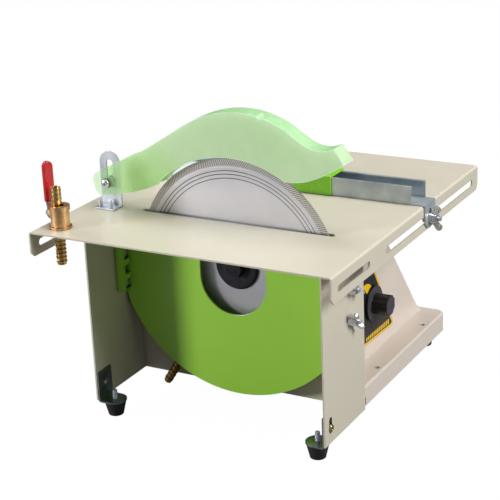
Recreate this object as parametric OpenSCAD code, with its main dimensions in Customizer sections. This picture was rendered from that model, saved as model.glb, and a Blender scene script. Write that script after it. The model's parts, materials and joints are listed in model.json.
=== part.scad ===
// Bench wet-cutting saw with a diamond disc, a folded steel table, a splash box,
// a lift-up guard, a sliding fence, a water valve and a speed-controlled motor.
// Millimetres. X runs left to right along the front edge, Y runs front to back,
// Z is up. The origin is on the bench, under the centre of the table.

/* [Table] */
// Width of the table, left to right
table_w = 370; // [360:1:400]
// Depth of the table, front to back
table_d = 414; // [410:1:440]
// Height of the working surface above the bench
table_h = 228; // [224:1:240]
// Thickness of the folded steel sheet
sheet_t = 2; // [1.5:0.1:2.5]
// Height of the down-turned side flanges
flange_h = 30; // [28:1:36]

/* [Cutting disc] */
// Radius of the disc
disc_r = 125; // [110:1:127]
// Thickness of the steel core
disc_t = 1.6; // [1.2:0.1:2]
// Height of the disc's axle above the bench
arbor_z = 176; // [174:1:180]
// Offset of the disc and its splash box to the right of the table's centre
cut_x = 13; // [8:1:16]
// Front-to-back place of the disc's middle plane
disc_y = -91; // [-92:0.5:-90]

/* [Splash box] */
// Outer width of the splash box
splash_w = 292; // [286:1:296]
// Gap between the bench and the lower edge of the splash box
splash_lift = 20; // [19:1:24]
// Outer radius of the round-bottomed disc case
case_r = 151; // [140:1:151]

/* [Machine body] */
// Width of the hollow base
base_w = 268; // [250:1:268]
// Height of the hollow base's top face above the bench
base_top = 34; // [32:1:38]
// Width of the motor housing on the base
hood_w = 203; // [190:1:210]
// Wall thickness of the moulded body
wall_t = 3; // [2.5:0.1:3]

/* [Guard] */
// Thickness of the hollow guard across the disc's plane
guard_t = 23; // [20:0.5:26]
// Wall thickness of the guard
guard_wall = 2.5; // [2:0.1:3]

/* [Fence] */
// Width of the channel, front to back
fence_w = 31; // [28:1:34]
// Height of the channel
fence_h = 21.5; // [18:0.5:24]
// Front face of the fence behind the table's centre
fence_y = 33.5; // [30:0.5:60]

/* [Speed knob] */
// Radius of the knob's skirt
knob_skirt_r = 21.5; // [18:0.5:23]
// Height of the knob's axis above the bench
knob_z = 96.5; // [93:0.5:104]
// Front-to-back place of the knob's axis
knob_y = 46; // [40:1:50]

/* [Hidden] */
$fn = 64;

// Smallest overlap used to cut cleanly through a face
eps = 0.5;
// Radial gap of a screw shank in its hole
slip = 0.2;
// Radial gap of a turning pin or shaft
run_gap = 0.05;

// Radius of the M5 screws that join the body, the splash box and the feet's brackets
screw_r = 2.5;
// Bore of the wing nuts
nut_bore_r = 3;
// Wing-nut bolts, with a running gap in the nuts
bolt_r = nut_bore_r - run_gap;

// Colours
beige = [0.82, 0.79, 0.72];
lime = [0.42, 0.72, 0.16];
zinc = [0.72, 0.74, 0.76];
brass_tone = [0.78, 0.62, 0.30];
rubber_black = [0.06, 0.06, 0.07];
clear_green = [0.70, 0.92, 0.70];

// Table
table_under = table_h - sheet_t;
bend_r = 3;
slot_z = table_h - 17;
slot_h = 8.5;
short_slot_l = 78;
short_slot_y = -153;
long_slot_l = 261;
long_slot_y = 58.5;
disc_slot_l = 243;
disc_slot_w = 7.5;
stud_r = 2.5;
stud_l = 9;
stud_x = splash_w / 2 - 9;
stud_ys = [-160, -122];
hood_stud_x = 60;
hood_stud_y = -20;

// Splash box
splash_back_y = -72;
splash_front_y = -177;
splash_top_flange_w = 14;
splash_in = splash_w / 2 - sheet_t;
case_bolt_y = -110;
case_bolt_zs = [142, 178];
case_bolt_r = 3;
foot_y = -163;
foot_slot_z = 41;
foot_slot_h = 19;
body_screw_x = 80;
body_screw_zs = [62, 204];

// Disc case
case_front_y = -104;
case_split_y = -97;
case_back_y = -78;
case_wall = 2.5;
case_half_w = splash_in - 0.5;
case_top = table_under - 2;
hub_open_r = 42;
hub_open_z = arbor_z - 12.5;
lug_t = 8;
lug_y0 = -123;
lug_z0 = 136;
lug_z1 = 190;
lug_floor = 2.5;
pocket_zs = [142, 160, 178];
pocket_h = 11;
drain_angle = 237;
drain_y = -89;
drain_r = 5;
drain_tip = 192;
barb_crest_r = 5.2;

// Machine body
body_y0 = splash_back_y;
body_y1 = 200;
belly_y = body_y0 + 26;
base_z0 = 9.5;
hood_top_y = 37.5;
hood_foot_y = 189.5;
hood_slope = (hood_foot_y - hood_top_y) / (table_under - base_top);
fillet_r = 5;
mount_hole_x = 125;
mount_hole_ys = [5, 144];
mount_hole_r = 3.5;
cover_screw_x = base_w / 2 - 14;
cover_screw_ys = [-32, 180];
rear_foot_x = base_w / 2 - 13;
rear_foot_y = 162;

// Feet
foot_in = 14;
bracket_w = 27;
bracket_t = 2;
bracket_z = 17.5;
bracket_top = 54;
foot_low_r = 9;
foot_top_r = 12.9;
foot_edge = 1.5;
foot_stud_r = 3;
foot_stud_z = 9;
foot_stud_l = 21.5;

// Motor, along Y from the body's front wall
mount_y = body_y0 + wall_t;
bell_front_l = 10;
can_y0 = mount_y + bell_front_l;
can_y1 = 28;
bell_rear_l = 10;
can_r = 40;
can_t = 2.5;
shaft_r = 8;
motor_screw_pcd = 60;
bearing_w = 8.4;
bearing_pitch_r = 13;
ball_r = 1.9;
ball_count = 8;
front_bearing_y = mount_y;
rear_bearing_y = can_y1;
comm_y = 12;
comm_r = 12;
comm_l = 12;
arbor_tip_y = -100.5;
arbor_shoulder_y = -93;
arbor_tip_r = 6;
rotor_slots = 12;
wire_pitch_r = 26.6;
flange_r = 26.8;
outer_flange_t = 3.6;
nut_seat = 2.2;
cap_nut_r = 19 / sqrt(3);
cap_nut_h = 8;

// Control side
hood_x = cut_x + hood_w / 2;
hood_left_x = cut_x - hood_w / 2;
label_t = 0.4;
pot_shaft_r = 3;
knob_gap = 0.8;
knob_skirt_t = 3;
knob_body_l = 20;
knob_body_r = 12.5;
flute_count = 8;
flute_r = 4;
flute_depth = 1.1;
switch_y = 40;
switch_z = 110;
rocker_pivot_r = 1.5;
inlet_y = 95;
inlet_z = 66;
switch_half_y = 6.4;
switch_half_z = 9.4;
inlet_half_y = 13.4;
inlet_half_z = 9.9;
vent_count = 6;
vent_y = -50;
vent_z = 172;
vent_pitch = 9;
vent_l = 40;
vent_w = 4;

// Guard
pivot_x = -150;
pivot_z = table_h + 29.5;
pivot_clear_r = 41;
guard_y0 = disc_y - guard_t / 2;
guard_y1 = disc_y + guard_t / 2;
guard_arc_r = 128.5;
guard_arc_from = 58;
guard_arc_to = 132;
guard_screw_r = 2.9;
guard_dent_x = 54.5;
guard_dent_z = table_h + 128.4;
guard_dent_r = 5.2;
guard_dent_l = guard_t / 2 + 3;
upright_y0 = disc_y - 1;
upright_top = table_h + 65;
upright_w = 27;
upright_slot_w = 8.4;
upright_slot_top = upright_top - 9.7;
bush_r = upright_slot_w / 2 - 0.1;
bracket_screw_r = 2.1;
bracket_screw_dx = 7.3;
bracket_screw_y = disc_y - 14;
bracket_screw_top = table_h + 10.5;

// Fence
fence_t = 1.6;
fence_mid_y = fence_y + fence_w / 2;
flange_gap = 0.3;
tab_w = 30;
tab_z = table_h - 27;
tab_corner = 7;
block_l = 50;
block_x0 = 21;
block_t = 2;

// Water valve
valve_x = -160;
valve_y = -180;
valve_h = 26.2;
valve_r = 10.7;
valve_base_r = 12.6;
valve_collar_r = 11.75;
valve_stem_z = table_h + 13;
valve_turn = -23;
valve_ball_r = 8;
valve_bore_r = 4;
valve_hole_r = 8.2;
tube_r = 5.7;
tube_top = 47;
barb_root_r = 5.2;
inlet_crest_r = 6.15;
inlet_pitch = 4.7;
inlet_rings = 6;
inlet_tip = -43.5;
stem_r = 3;
tail_r = 7;
tube_thread_r = 5.3;
lever_offset = 19;
lever_l = 54;
lever_half_w = 5;
grip_half_w = 5.9;
grip_from = 14;

// Cylinder along X from the given point
module rod_x(x, y, z, r, l) {
    translate([x, y, z]) rotate([0, 90, 0]) cylinder(r = r, h = l);
}

// Cylinder along Y from the given point
module rod_y(x, y, z, r, l) {
    translate([x, y, z]) rotate([-90, 0, 0]) cylinder(r = r, h = l);
}

// Cylinder along Z from the given point
module rod_z(x, y, z, r, l) {
    translate([x, y, z]) cylinder(r = r, h = l);
}

// Box given by its lowest and highest corners
module box(lo, hi) {
    translate(lo) cube(hi - lo);
}

// Flat outline in X and Z, pushed along +Y from y
module plate_y(y, t) {
    translate([0, y + t, 0]) rotate([90, 0, 0]) linear_extrude(height = t) children();
}

// Flat outline in Y and Z, pushed along +X from x
module plate_x(x, t) {
    translate([x, 0, 0]) rotate([90, 0, 90]) linear_extrude(height = t) children();
}

// Round-ended slot outline, centred, running along its first axis
module slot_2d(l, w) {
    square([l - w, w], center = true);
    for (s = [-1, 1]) translate([s * (l - w) / 2, 0]) circle(r = w / 2);
}

// Mirror image about the middle plane of the disc's splash box
module both_sides() {
    for (s = [-1, 1]) translate([cut_x, 0, 0]) mirror_x(s) children();
}

// Children, or their mirror image in X when s is negative
module mirror_x(s) {
    mirror([s < 0 ? 1 : 0, 0, 0]) children();
}

// Hexagonal nut along X with a clear bore
module nut_x(x, y, z, flats, l, bore) {
    difference() {
        translate([x, y, z]) rotate([0, 90, 0]) cylinder(r = flats / sqrt(3), h = l, $fn = 6);
        rod_x(x - eps, y, z, bore, l + 2 * eps);
    }
}

// Hexagonal nut along Z with a clear bore
module nut_z(x, y, z, flats, l, bore) {
    difference() {
        translate([x, y, z]) cylinder(r = flats / sqrt(3), h = l, $fn = 6);
        rod_z(x, y, z - eps, bore, l + 2 * eps);
    }
}

// Wing nut along +X: hub, bore and two outward leaning wings
module wing_nut(x, y, z, turn) {
    hub_l = 8.5;
    wing_t = 2.8;
    hub_base_r = 6.5;
    hub_end_r = 5.2;
    translate([x, y, z]) rotate([turn, 0, 0]) difference() {
        union() {
            rotate([0, 90, 0]) cylinder(r1 = hub_base_r, r2 = hub_end_r, h = hub_l);
            for (s = [-1, 1]) mirror_z(s) plate_y(-wing_t / 2, wing_t) wing_outline();
        }
        rod_x(-eps, 0, 0, nut_bore_r, hub_l + 2 * eps);
    }
}

// Children, or their mirror image in Z when s is negative
module mirror_z(s) {
    mirror([0, 0, s < 0 ? 1 : 0]) children();
}

// One wing, in X and Z: a rounded lobe joined to the hub by a web
module wing_outline() {
    translate([9.2, 11.4]) circle(r = 4);
    polygon([[0.8, 4], [5.7, 13.3], [13, 10.2], [8.1, 4]]);
}

// ---------------------------------------------------------------- structure

// Round-cornered cross-section of the table, open at the bottom
module table_section(w, top, bottom, r) {
    translate([0, (top - r + bottom) / 2]) square([w, top - r - bottom], center = true);
    translate([0, top - r / 2]) square([w - 2 * r, r], center = true);
    for (s = [-1, 1]) translate([s * (w / 2 - r), top - r]) circle(r = r);
}

module table_top() {
    flange_z = table_h - flange_h;
    color(beige) {
        difference() {
            plate_y(-table_d / 2, table_d) table_section(table_w, table_h, flange_z, bend_r);
            plate_y(-table_d / 2 - eps, table_d + 2 * eps)
                table_section(table_w - 2 * sheet_t, table_under, flange_z - eps, bend_r - sheet_t);
            translate([cut_x, disc_y, table_under - eps]) linear_extrude(height = sheet_t + 2 * eps)
                slot_2d(disc_slot_l, disc_slot_w);
            plate_x(-table_w, 2 * table_w) {
                translate([short_slot_y, slot_z]) slot_2d(short_slot_l, slot_h);
                translate([long_slot_y, slot_z]) slot_2d(long_slot_l, slot_h);
                for (s = [-1, 1]) translate([s * table_d / 2, flange_z]) circle(r = 5.5, $fn = 4);
            }
            rod_z(valve_x, valve_y, table_under - eps, valve_hole_r, sheet_t + 2 * eps);
            for (dx = [-1, 1]) rod_z(pivot_x + dx * bracket_screw_dx, bracket_screw_y,
                table_under - eps, bracket_screw_r + slip, sheet_t + 2 * eps);
        }
        both_sides() for (y = stud_ys) rod_z(stud_x, y, table_under - stud_l, stud_r, stud_l);
        both_sides() rod_z(hood_stud_x, hood_stud_y, table_under - stud_l, stud_r, stud_l);
    }
}

// Cross-section of the splash box in X and Y, open at the front
module splash_section(w, back, front, r) {
    translate([0, (front + back - r) / 2]) square([w, back - r - front], center = true);
    translate([0, back - r / 2]) square([w - 2 * r, r], center = true);
    for (s = [-1, 1]) translate([s * (w / 2 - r), back - r]) circle(r = r);
}

module splash_housing() {
    wall_h = table_under - splash_lift;
    color(beige) difference() {
        union() {
            translate([cut_x, 0, splash_lift]) linear_extrude(height = wall_h) difference() {
                splash_section(splash_w, splash_back_y, splash_front_y, bend_r);
                splash_section(splash_w - 2 * sheet_t, splash_back_y - sheet_t,
                    splash_front_y - eps, bend_r - sheet_t);
            }
            both_sides()
                box([splash_w / 2 - splash_top_flange_w, splash_front_y + 6, table_under - sheet_t],
                    [splash_w / 2 - 1, case_front_y - 6, table_under]);
        }
        both_sides() for (y = stud_ys)
            rod_z(stud_x, y, table_under - sheet_t - eps, stud_r + slip, sheet_t + 2 * eps);
        for (z = case_bolt_zs)
            rod_x(cut_x - splash_w, case_bolt_y, z, case_bolt_r + slip, 2 * splash_w);
        plate_x(cut_x - splash_w, 2 * splash_w) translate([foot_y, foot_slot_z]) rotate(90)
            slot_2d(foot_slot_h, 7);
        rod_y(cut_x, splash_back_y - sheet_t - eps, arbor_z, 20, sheet_t + 2 * eps);
        both_sides() for (z = body_screw_zs)
            rod_y(body_screw_x, splash_back_y - sheet_t - eps, z, screw_r + slip, sheet_t + 2 * eps);
        motor_screw_holes(splash_back_y - sheet_t - eps, sheet_t + 2 * eps, screw_r + slip);
    }
}

// The four screw places around the motor's axis, as rods along Y
module motor_screw_holes(y, l, r) {
    for (a = [45:90:315])
        rod_y(cut_x + motor_screw_pcd / 2 * cos(a), y, arbor_z + motor_screw_pcd / 2 * sin(a), r, l);
}

// Nuts on the table's welded studs and screws that join the box, body and cover
module housing_screws() {
    color(zinc) {
        both_sides() for (y = stud_ys)
            nut_z(stud_x, y, table_under - sheet_t - 4, 8, 4, stud_r);
        both_sides() nut_z(hood_stud_x, hood_stud_y, table_under - wall_t - 4, 8, 4, stud_r);
        both_sides() for (z = body_screw_zs) {
            rod_y(body_screw_x, splash_back_y - sheet_t - 3, z, 4.5, 3);
            rod_y(body_screw_x, splash_back_y - sheet_t, z, screw_r, sheet_t + wall_t + 7);
            translate([body_screw_x, mount_y, z]) rotate([-90, 0, 0]) nut_z(0, 0, 0, 8, 4, screw_r);
        }
        both_sides() for (y = cover_screw_ys) {
            rod_z(cover_screw_x, y, base_z0 - 2, 4, 2);
            rod_z(cover_screw_x, y, base_z0, 2, 12);
        }
    }
}

// Base block with rounded rear corners and a rounded upper edge
module soft_base(x0, x1, y0, y1, z0, z1, corner, edge) {
    box([x0, y0, z0], [x1, y1 - corner, z1 - edge]);
    box([x0 + edge, y0, z1 - edge], [x1 - edge, y1 - corner, z1]);
    box([x0 + corner, y1 - corner, z0], [x1 - corner, y1, z1 - edge]);
    box([x0 + corner, y1 - corner, z1 - edge], [x1 - corner, y1 - edge, z1]);
    for (x = [x0 + edge, x1 - edge]) rod_y(x, y0, z1 - edge, edge, y1 - corner - y0);
    rod_x(x0 + corner, y1 - edge, z1 - edge, edge, x1 - x0 - 2 * corner);
    for (x = [x0 + corner, x1 - corner]) translate([x, y1 - corner, 0]) {
        rod_z(0, 0, z0, corner, z1 - edge - z0);
        rod_z(0, 0, z1 - edge, corner - edge, edge);
        translate([0, 0, z1 - edge]) rotate_extrude() translate([corner - edge, 0])
            intersection() {
                circle(r = edge);
                square(2 * edge);
            }
    }
}

// Side outline of the motor housing in Y and Z, drawn inwards by d
module hood_outline(d, foot_z) {
    top = table_under - d;
    lean = d * sqrt(1 + hood_slope * hood_slope);
    polygon([
        [body_y0 + d, foot_z],
        [body_y0 + d, top],
        [hood_top_y - lean + d * hood_slope, top],
        [hood_foot_y - lean - (foot_z - base_top) * hood_slope, foot_z]
    ]);
}

// Concave fillet strip along X or Y: a square bar with a quarter-round cut out
module fillet_2d(r) {
    difference() {
        square(r);
        translate([r, r]) circle(r = r);
    }
}

// Hollow moulding: a base whose front underside is stepped up to the splash box's lower edge, and the hood
module machine_body() {
    half_b = base_w / 2;
    edge = 3;
    color(beige) difference() {
        union() {
            soft_base(cut_x - half_b, cut_x + half_b, body_y0, body_y1, base_z0, base_top, 10, edge);
            plate_x(hood_left_x, hood_w) hood_outline(0, base_top - 1);
            for (s = [-1, 1]) translate([cut_x + s * hood_w / 2, 0, base_top]) mirror_x(s)
                plate_y(body_y0, hood_foot_y - body_y0) fillet_2d(fillet_r);
            translate([0, hood_foot_y - 1.5, base_top])
                plate_x(hood_left_x, hood_w) fillet_2d(fillet_r);
        }
        box([cut_x - half_b - eps, body_y0 - eps, base_z0 - eps],
            [cut_x + half_b + eps, belly_y, splash_lift]);
        box([cut_x - half_b + wall_t, belly_y + wall_t, base_z0 - eps],
            [cut_x + half_b - wall_t, body_y1 - wall_t, base_top - wall_t]);
        box([cut_x - half_b + wall_t, body_y0 + wall_t, splash_lift + wall_t],
            [cut_x + half_b - wall_t, belly_y + wall_t + eps, base_top - wall_t]);
        plate_x(hood_left_x + wall_t, hood_w - 2 * wall_t) hood_outline(wall_t, base_top - wall_t - 1);
        rod_y(cut_x, body_y0 - eps, arbor_z, 20, wall_t + 2 * eps);
        motor_screw_holes(body_y0 - eps, wall_t + 2 * eps, screw_r + slip);
        both_sides() for (z = body_screw_zs)
            rod_y(body_screw_x, body_y0 - eps, z, screw_r + slip, wall_t + 2 * eps);
        both_sides() rod_z(hood_stud_x, hood_stud_y, table_under - wall_t - eps,
            stud_r + slip, wall_t + 2 * eps);
        both_sides() for (y = mount_hole_ys)
            rod_z(mount_hole_x, y, base_top - wall_t - eps, mount_hole_r, wall_t + 2 * eps);
        rod_x(hood_x - wall_t - eps, knob_y, knob_z, 3.7, wall_t + 2 * eps);
        box([hood_left_x - eps, switch_y - switch_half_y - 0.1, switch_z - switch_half_z - 0.1],
            [hood_left_x + wall_t + eps, switch_y + switch_half_y + 0.1, switch_z + switch_half_z + 0.1]);
        box([hood_left_x - eps, inlet_y - inlet_half_y - 0.1, inlet_z - inlet_half_z - 0.1],
            [hood_left_x + wall_t + eps, inlet_y + inlet_half_y + 0.1, inlet_z + inlet_half_z + 0.1]);
        for (i = [0:vent_count - 1]) plate_x(hood_left_x - eps, wall_t + 2 * eps)
            translate([vent_y + vent_pitch * i, vent_z]) rotate(90) slot_2d(vent_l, vent_w);
    }
    color(beige) both_sides() for (y = cover_screw_ys) screw_post(cover_screw_x, y);
}

// Boss inside the base that takes a cover screw
module screw_post(x, y) {
    difference() {
        rod_z(x, y, base_z0 + 2, 5, base_top - wall_t - base_z0 - 2);
        rod_z(x, y, base_z0 + 2 - eps, 2, 13);
    }
}

module bottom_cover() {
    half_c = base_w / 2 - wall_t - 0.5;
    color(zinc) difference() {
        box([cut_x - half_c, belly_y + wall_t + 0.5, base_z0],
            [cut_x + half_c, body_y1 - wall_t - 0.5, base_z0 + 1.6]);
        both_sides() for (y = mount_hole_ys) rod_z(mount_hole_x, y, base_z0 - eps, 6, 3);
        both_sides() for (y = cover_screw_ys) rod_z(cover_screw_x, y, base_z0 - eps, 2 + slip, 3);
        both_sides() rod_z(rear_foot_x, rear_foot_y, base_z0 - eps, 2 + slip, 3);
    }
}

// ---------------------------------------------------------------- feet

module foot_brackets() {
    color(zinc) both_sides() difference() {
        union() {
            box([splash_in - bracket_t, foot_y - bracket_w / 2, bracket_z + bend_r],
                [splash_in, foot_y + bracket_w / 2, bracket_top]);
            box([splash_in - foot_in, foot_y - bracket_w / 2, bracket_z],
                [splash_in - bend_r, foot_y + bracket_w / 2, bracket_z + bracket_t]);
            rod_z(splash_in - foot_in, foot_y, bracket_z, bracket_w / 2, bracket_t);
            plate_y(foot_y - bracket_w / 2, bracket_w)
                translate([splash_in - bend_r, bracket_z + bend_r]) difference() {
                    circle(r = bend_r);
                    circle(r = bend_r - bracket_t);
                    translate([-2 * bend_r, -bend_r]) square([2 * bend_r, 3 * bend_r]);
                    translate([-bend_r, 0]) square([3 * bend_r, 2 * bend_r]);
                }
        }
        rod_z(splash_in - foot_in, foot_y, bracket_z - eps, foot_stud_r + slip, 3);
        rod_x(splash_in - 5, foot_y, foot_slot_z - 3, screw_r, 8);
    }
}

// Side screws of the brackets, the front feet's studs and the rear feet's screws
module foot_screws() {
    color(brass_tone) {
        both_sides() {
            rod_x(splash_w / 2, foot_y, foot_slot_z - 3, 4.3, 2.4);
            rod_x(splash_in - bracket_t - 0.5, foot_y, foot_slot_z - 3, screw_r, sheet_t + bracket_t + 0.5);
            rod_z(splash_in - foot_in, foot_y, foot_stud_z, foot_stud_r, foot_stud_l);
        }
        both_sides() {
            rod_z(rear_foot_x, rear_foot_y, 2, 4, 2);
            rod_z(rear_foot_x, rear_foot_y, 4, 2, 14);
            nut_z(rear_foot_x, rear_foot_y, base_z0 + 1.6, 7, 3, 2);
        }
    }
}

module front_feet() {
    color(rubber_black) both_sides() difference() {
        translate([splash_in - foot_in, foot_y, 0]) union() {
            rotate_extrude() {
                translate([foot_low_r - foot_edge, foot_edge]) circle(r = foot_edge);
                square([foot_low_r - foot_edge, foot_edge]);
            }
            translate([0, 0, foot_edge])
                cylinder(r1 = foot_low_r, r2 = foot_top_r, h = bracket_z - foot_edge);
        }
        rod_z(splash_in - foot_in, foot_y, foot_stud_z, foot_stud_r, bracket_z);
    }
}

module rear_feet() {
    color(rubber_black) both_sides() difference() {
        translate([rear_foot_x, rear_foot_y, 0]) cylinder(r1 = 8.5, r2 = 10, h = base_z0);
        rod_z(rear_foot_x, rear_foot_y, -eps, 4 + slip, 4 + eps);
        rod_z(rear_foot_x, rear_foot_y, -eps, 2 + slip, base_z0 + 2 * eps);
    }
}

// ---------------------------------------------------------------- disc case

// Outline of the case in X and Z, drawn inwards by d and open past the top
module case_outline(d, top) {
    intersection() {
        translate([cut_x, arbor_z]) circle(r = case_r - d, $fn = 128);
        translate([cut_x - case_half_w + d, arbor_z - case_r])
            square([2 * (case_half_w - d), top - arbor_z + case_r]);
    }
}

module hub_opening() {
    translate([cut_x, hub_open_z]) circle(r = hub_open_r);
    translate([cut_x - hub_open_r, hub_open_z]) square([2 * hub_open_r, case_top]);
}

module case_front() {
    color(lime) difference() {
        union() {
            plate_y(case_front_y, case_split_y - case_front_y) case_outline(0, case_top);
            both_sides() box([case_half_w - lug_t, lug_y0, lug_z0],
                [case_half_w, case_front_y + case_wall, lug_z1]);
        }
        plate_y(case_front_y + case_wall, case_split_y - case_front_y)
            case_outline(case_wall, case_top + eps);
        plate_y(case_front_y - eps, case_wall + 2 * eps) hub_opening();
        both_sides() for (z = pocket_zs)
            box([case_half_w - lug_t - eps, case_bolt_y - 6, z - pocket_h / 2],
                [case_half_w - lug_floor, case_bolt_y + 4.5, z + pocket_h / 2]);
        for (z = case_bolt_zs) rod_x(cut_x - splash_w, case_bolt_y, z, case_bolt_r + slip, 2 * splash_w);
    }
}

module case_back() {
    depth = case_back_y - case_split_y;
    color(lime) difference() {
        plate_y(case_split_y, depth) case_outline(0, case_top);
        plate_y(case_split_y - eps, depth - case_wall + eps) case_outline(case_wall, case_top + eps);
        rod_y(cut_x, case_back_y - case_wall - eps, arbor_z, 18, case_wall + 2 * eps);
        radial_place() cylinder(r = drain_r + run_gap, h = case_r + 10);
    }
}

// Turns +Z into the drain's outward direction, from the disc's axis
module radial_place() {
    translate([cut_x, drain_y, arbor_z]) rotate([0, 90 - drain_angle, 0]) children();
}

module case_bolts() {
    color(zinc) both_sides() for (z = case_bolt_zs) {
        translate([case_half_w - lug_floor - 3, case_bolt_y, z]) rotate([0, 90, 0])
            cylinder(r = 4.8, h = 3, $fn = 6);
        rod_x(case_half_w - lug_floor, case_bolt_y, z, bolt_r, lug_floor + 0.5 + sheet_t + 13);
    }
}

module drain_barb() {
    color(brass_tone) radial_place() difference() {
        union() {
            translate([0, 0, case_r - 9]) cylinder(r = drain_r, h = 12);
            translate([0, 0, case_r + 0.1]) cylinder(r = 8, h = 4, $fn = 6);
            translate([0, 0, case_r + 4]) cylinder(r = 4.4, h = drain_tip - case_r - 4);
            barb_rings(case_r + 9, drain_tip, 5, 4.4, barb_crest_r);
        }
        cylinder(r = 3, h = drain_tip + eps);
    }
}

// Rings of a hose barb from z0 to z1: each climbs from root to crest, with a short land
module barb_rings(z0, z1, count, root, crest) {
    pitch = (z1 - z0) / count;
    for (i = [0:count - 1]) translate([0, 0, z0 + i * pitch]) {
        cylinder(r = crest, h = 1.6);
        translate([0, 0, 1.6]) cylinder(r1 = crest, r2 = root, h = pitch - 1.6);
    }
}

module drain_nut() {
    color(brass_tone) radial_place() difference() {
        translate([0, 0, case_r - case_wall - 4.5]) cylinder(r = 7.5, h = 4, $fn = 6);
        cylinder(r = drain_r, h = case_r);
    }
}

module case_wing_nut_left_upper() {
    color(zinc) mirror_left() wing_nut(splash_w / 2 + 0.2, case_bolt_y, case_bolt_zs[1], 70);
}

module case_wing_nut_left_lower() {
    color(zinc) mirror_left() wing_nut(splash_w / 2 + 0.2, case_bolt_y, case_bolt_zs[0], 20);
}

module case_wing_nut_right_upper() {
    color(zinc) translate([cut_x, 0, 0]) wing_nut(splash_w / 2 + 0.2, case_bolt_y, case_bolt_zs[1], 60);
}

module case_wing_nut_right_lower() {
    color(zinc) translate([cut_x, 0, 0]) wing_nut(splash_w / 2 + 0.2, case_bolt_y, case_bolt_zs[0], 40);
}

module mirror_left() {
    translate([cut_x, 0, 0]) mirror([1, 0, 0]) children();
}

// ---------------------------------------------------------------- motor

// Ring around the motor's axis from y, of outer and inner radius
module ring_y(y, outer, inner, l) {
    difference() {
        rod_y(cut_x, y, arbor_z, outer, l);
        rod_y(cut_x, y - eps, arbor_z, inner, l + 2 * eps);
    }
}

module motor_can() {
    color([0.25, 0.25, 0.27]) ring_y(can_y0, can_r, can_r - can_t, can_y1 - can_y0);
}

module motor_magnets() {
    mag_out = can_r - can_t;
    color([0.2, 0.2, 0.22]) for (s = [-1, 1]) intersection() {
        ring_y(-44, mag_out, mag_out - 5, 50);
        box([cut_x - can_r, -45, arbor_z + (s < 0 ? -can_r : 12)],
            [cut_x + can_r, 10, arbor_z + (s < 0 ? -12 : can_r)]);
    }
}

module motor_front_bell() {
    color([0.6, 0.6, 0.62]) difference() {
        union() {
            rod_y(cut_x, mount_y, arbor_z, can_r, bell_front_l);
            rod_y(cut_x, mount_y, arbor_z, 21, bell_front_l + 2);
        }
        rod_y(cut_x, mount_y - eps, arbor_z, 17.5, bearing_w + eps);
        rod_y(cut_x, mount_y, arbor_z, 11, 30);
        motor_screw_holes(mount_y - eps, 9, screw_r);
    }
}

module motor_rear_bell() {
    color([0.6, 0.6, 0.62]) difference() {
        rod_y(cut_x, can_y1, arbor_z, can_r, bell_rear_l);
        rod_y(cut_x, can_y1 - eps, arbor_z, 17.5, bearing_w + eps);
    }
}

// Four long screws through the splash box and the body into the motor's front bell
module motor_screws() {
    color(zinc) {
        motor_screw_holes(splash_back_y - sheet_t - 3, 3, 4.2);
        motor_screw_holes(splash_back_y - sheet_t, sheet_t + wall_t + 8, screw_r);
    }
}

// Both bearings' rings, each with a rolled raceway for the balls
module race_cut(y) {
    translate([cut_x, y + bearing_w / 2, arbor_z]) rotate([90, 0, 0]) rotate_extrude()
        translate([bearing_pitch_r, 0]) circle(r = ball_r + run_gap, $fn = 32);
}

module bearing_outer_rings() {
    color(zinc) for (y = [front_bearing_y, rear_bearing_y]) difference() {
        ring_y(y, 17.5, 14.2, bearing_w);
        race_cut(y);
    }
}

module bearing_inner_rings() {
    color(zinc) for (y = [front_bearing_y, rear_bearing_y]) difference() {
        ring_y(y, 11.8, shaft_r, bearing_w);
        race_cut(y);
    }
}

module bearing_balls() {
    color(zinc) for (y = [front_bearing_y, rear_bearing_y], i = [0:ball_count - 1])
        translate([cut_x, y + bearing_w / 2, arbor_z]) rotate([0, i * 360 / ball_count, 0])
            translate([bearing_pitch_r, 0, 0]) sphere(r = ball_r, $fn = 32);
}

module brush_holders() {
    color([0.75, 0.6, 0.3]) for (s = [-1, 1]) translate([cut_x, 0, arbor_z]) mirror_x(s) difference() {
        box([16, comm_y + 1, -5], [can_r - can_t - 0.5, comm_y + 11, 5]);
        box([15, comm_y + 2.5, -3.5], [can_r, comm_y + 9.5, 3.5]);
    }
}

module carbon_brushes() {
    color([0.15, 0.15, 0.15]) for (s = [-1, 1]) translate([cut_x, 0, arbor_z]) mirror_x(s) difference() {
        box([10, comm_y + 2.6, -3.4], [30, comm_y + 9.4, 3.4]);
        rod_y(0, comm_y - 1, 0, comm_r + run_gap, comm_l + 2);
    }
}

// Shaft through both bearings, with a thinner threaded tip for the cap nut
module motor_shaft() {
    color(zinc) union() {
        rod_y(cut_x, arbor_shoulder_y, arbor_z, shaft_r, can_y1 + bearing_w - arbor_shoulder_y);
        rod_y(cut_x, arbor_tip_y, arbor_z, arbor_tip_r, arbor_shoulder_y - arbor_tip_y);
    }
}

// Slotted rotor stack
module rotor_core() {
    color([0.45, 0.45, 0.47]) difference() {
        ring_y(-42, 31.8, shaft_r, 46);
        for (i = [0:rotor_slots - 1]) translate([cut_x, 0, arbor_z]) rotate([0, i * 360 / rotor_slots, 0])
            union() {
                rod_y(wire_pitch_r, -43, 0, 3.2, 48);
                box([wire_pitch_r, -43, -1], [34, 5, 1]);
            }
    }
}

// Wire bundles lying in the rotor's slots and the end turns that join them
module rotor_windings() {
    color([0.72, 0.4, 0.2]) union() {
        ring_y(-49, 30, 16, 6.9);
        ring_y(4.1, 30, 16, 6);
        for (i = [0:rotor_slots - 1]) translate([cut_x, 0, arbor_z]) rotate([0, i * 360 / rotor_slots, 0])
            rod_y(wire_pitch_r, -45, 0, 2.9, 51);
    }
}

module commutator() {
    color([0.72, 0.45, 0.25]) ring_y(comm_y, comm_r, shaft_r, comm_l);
}

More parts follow.
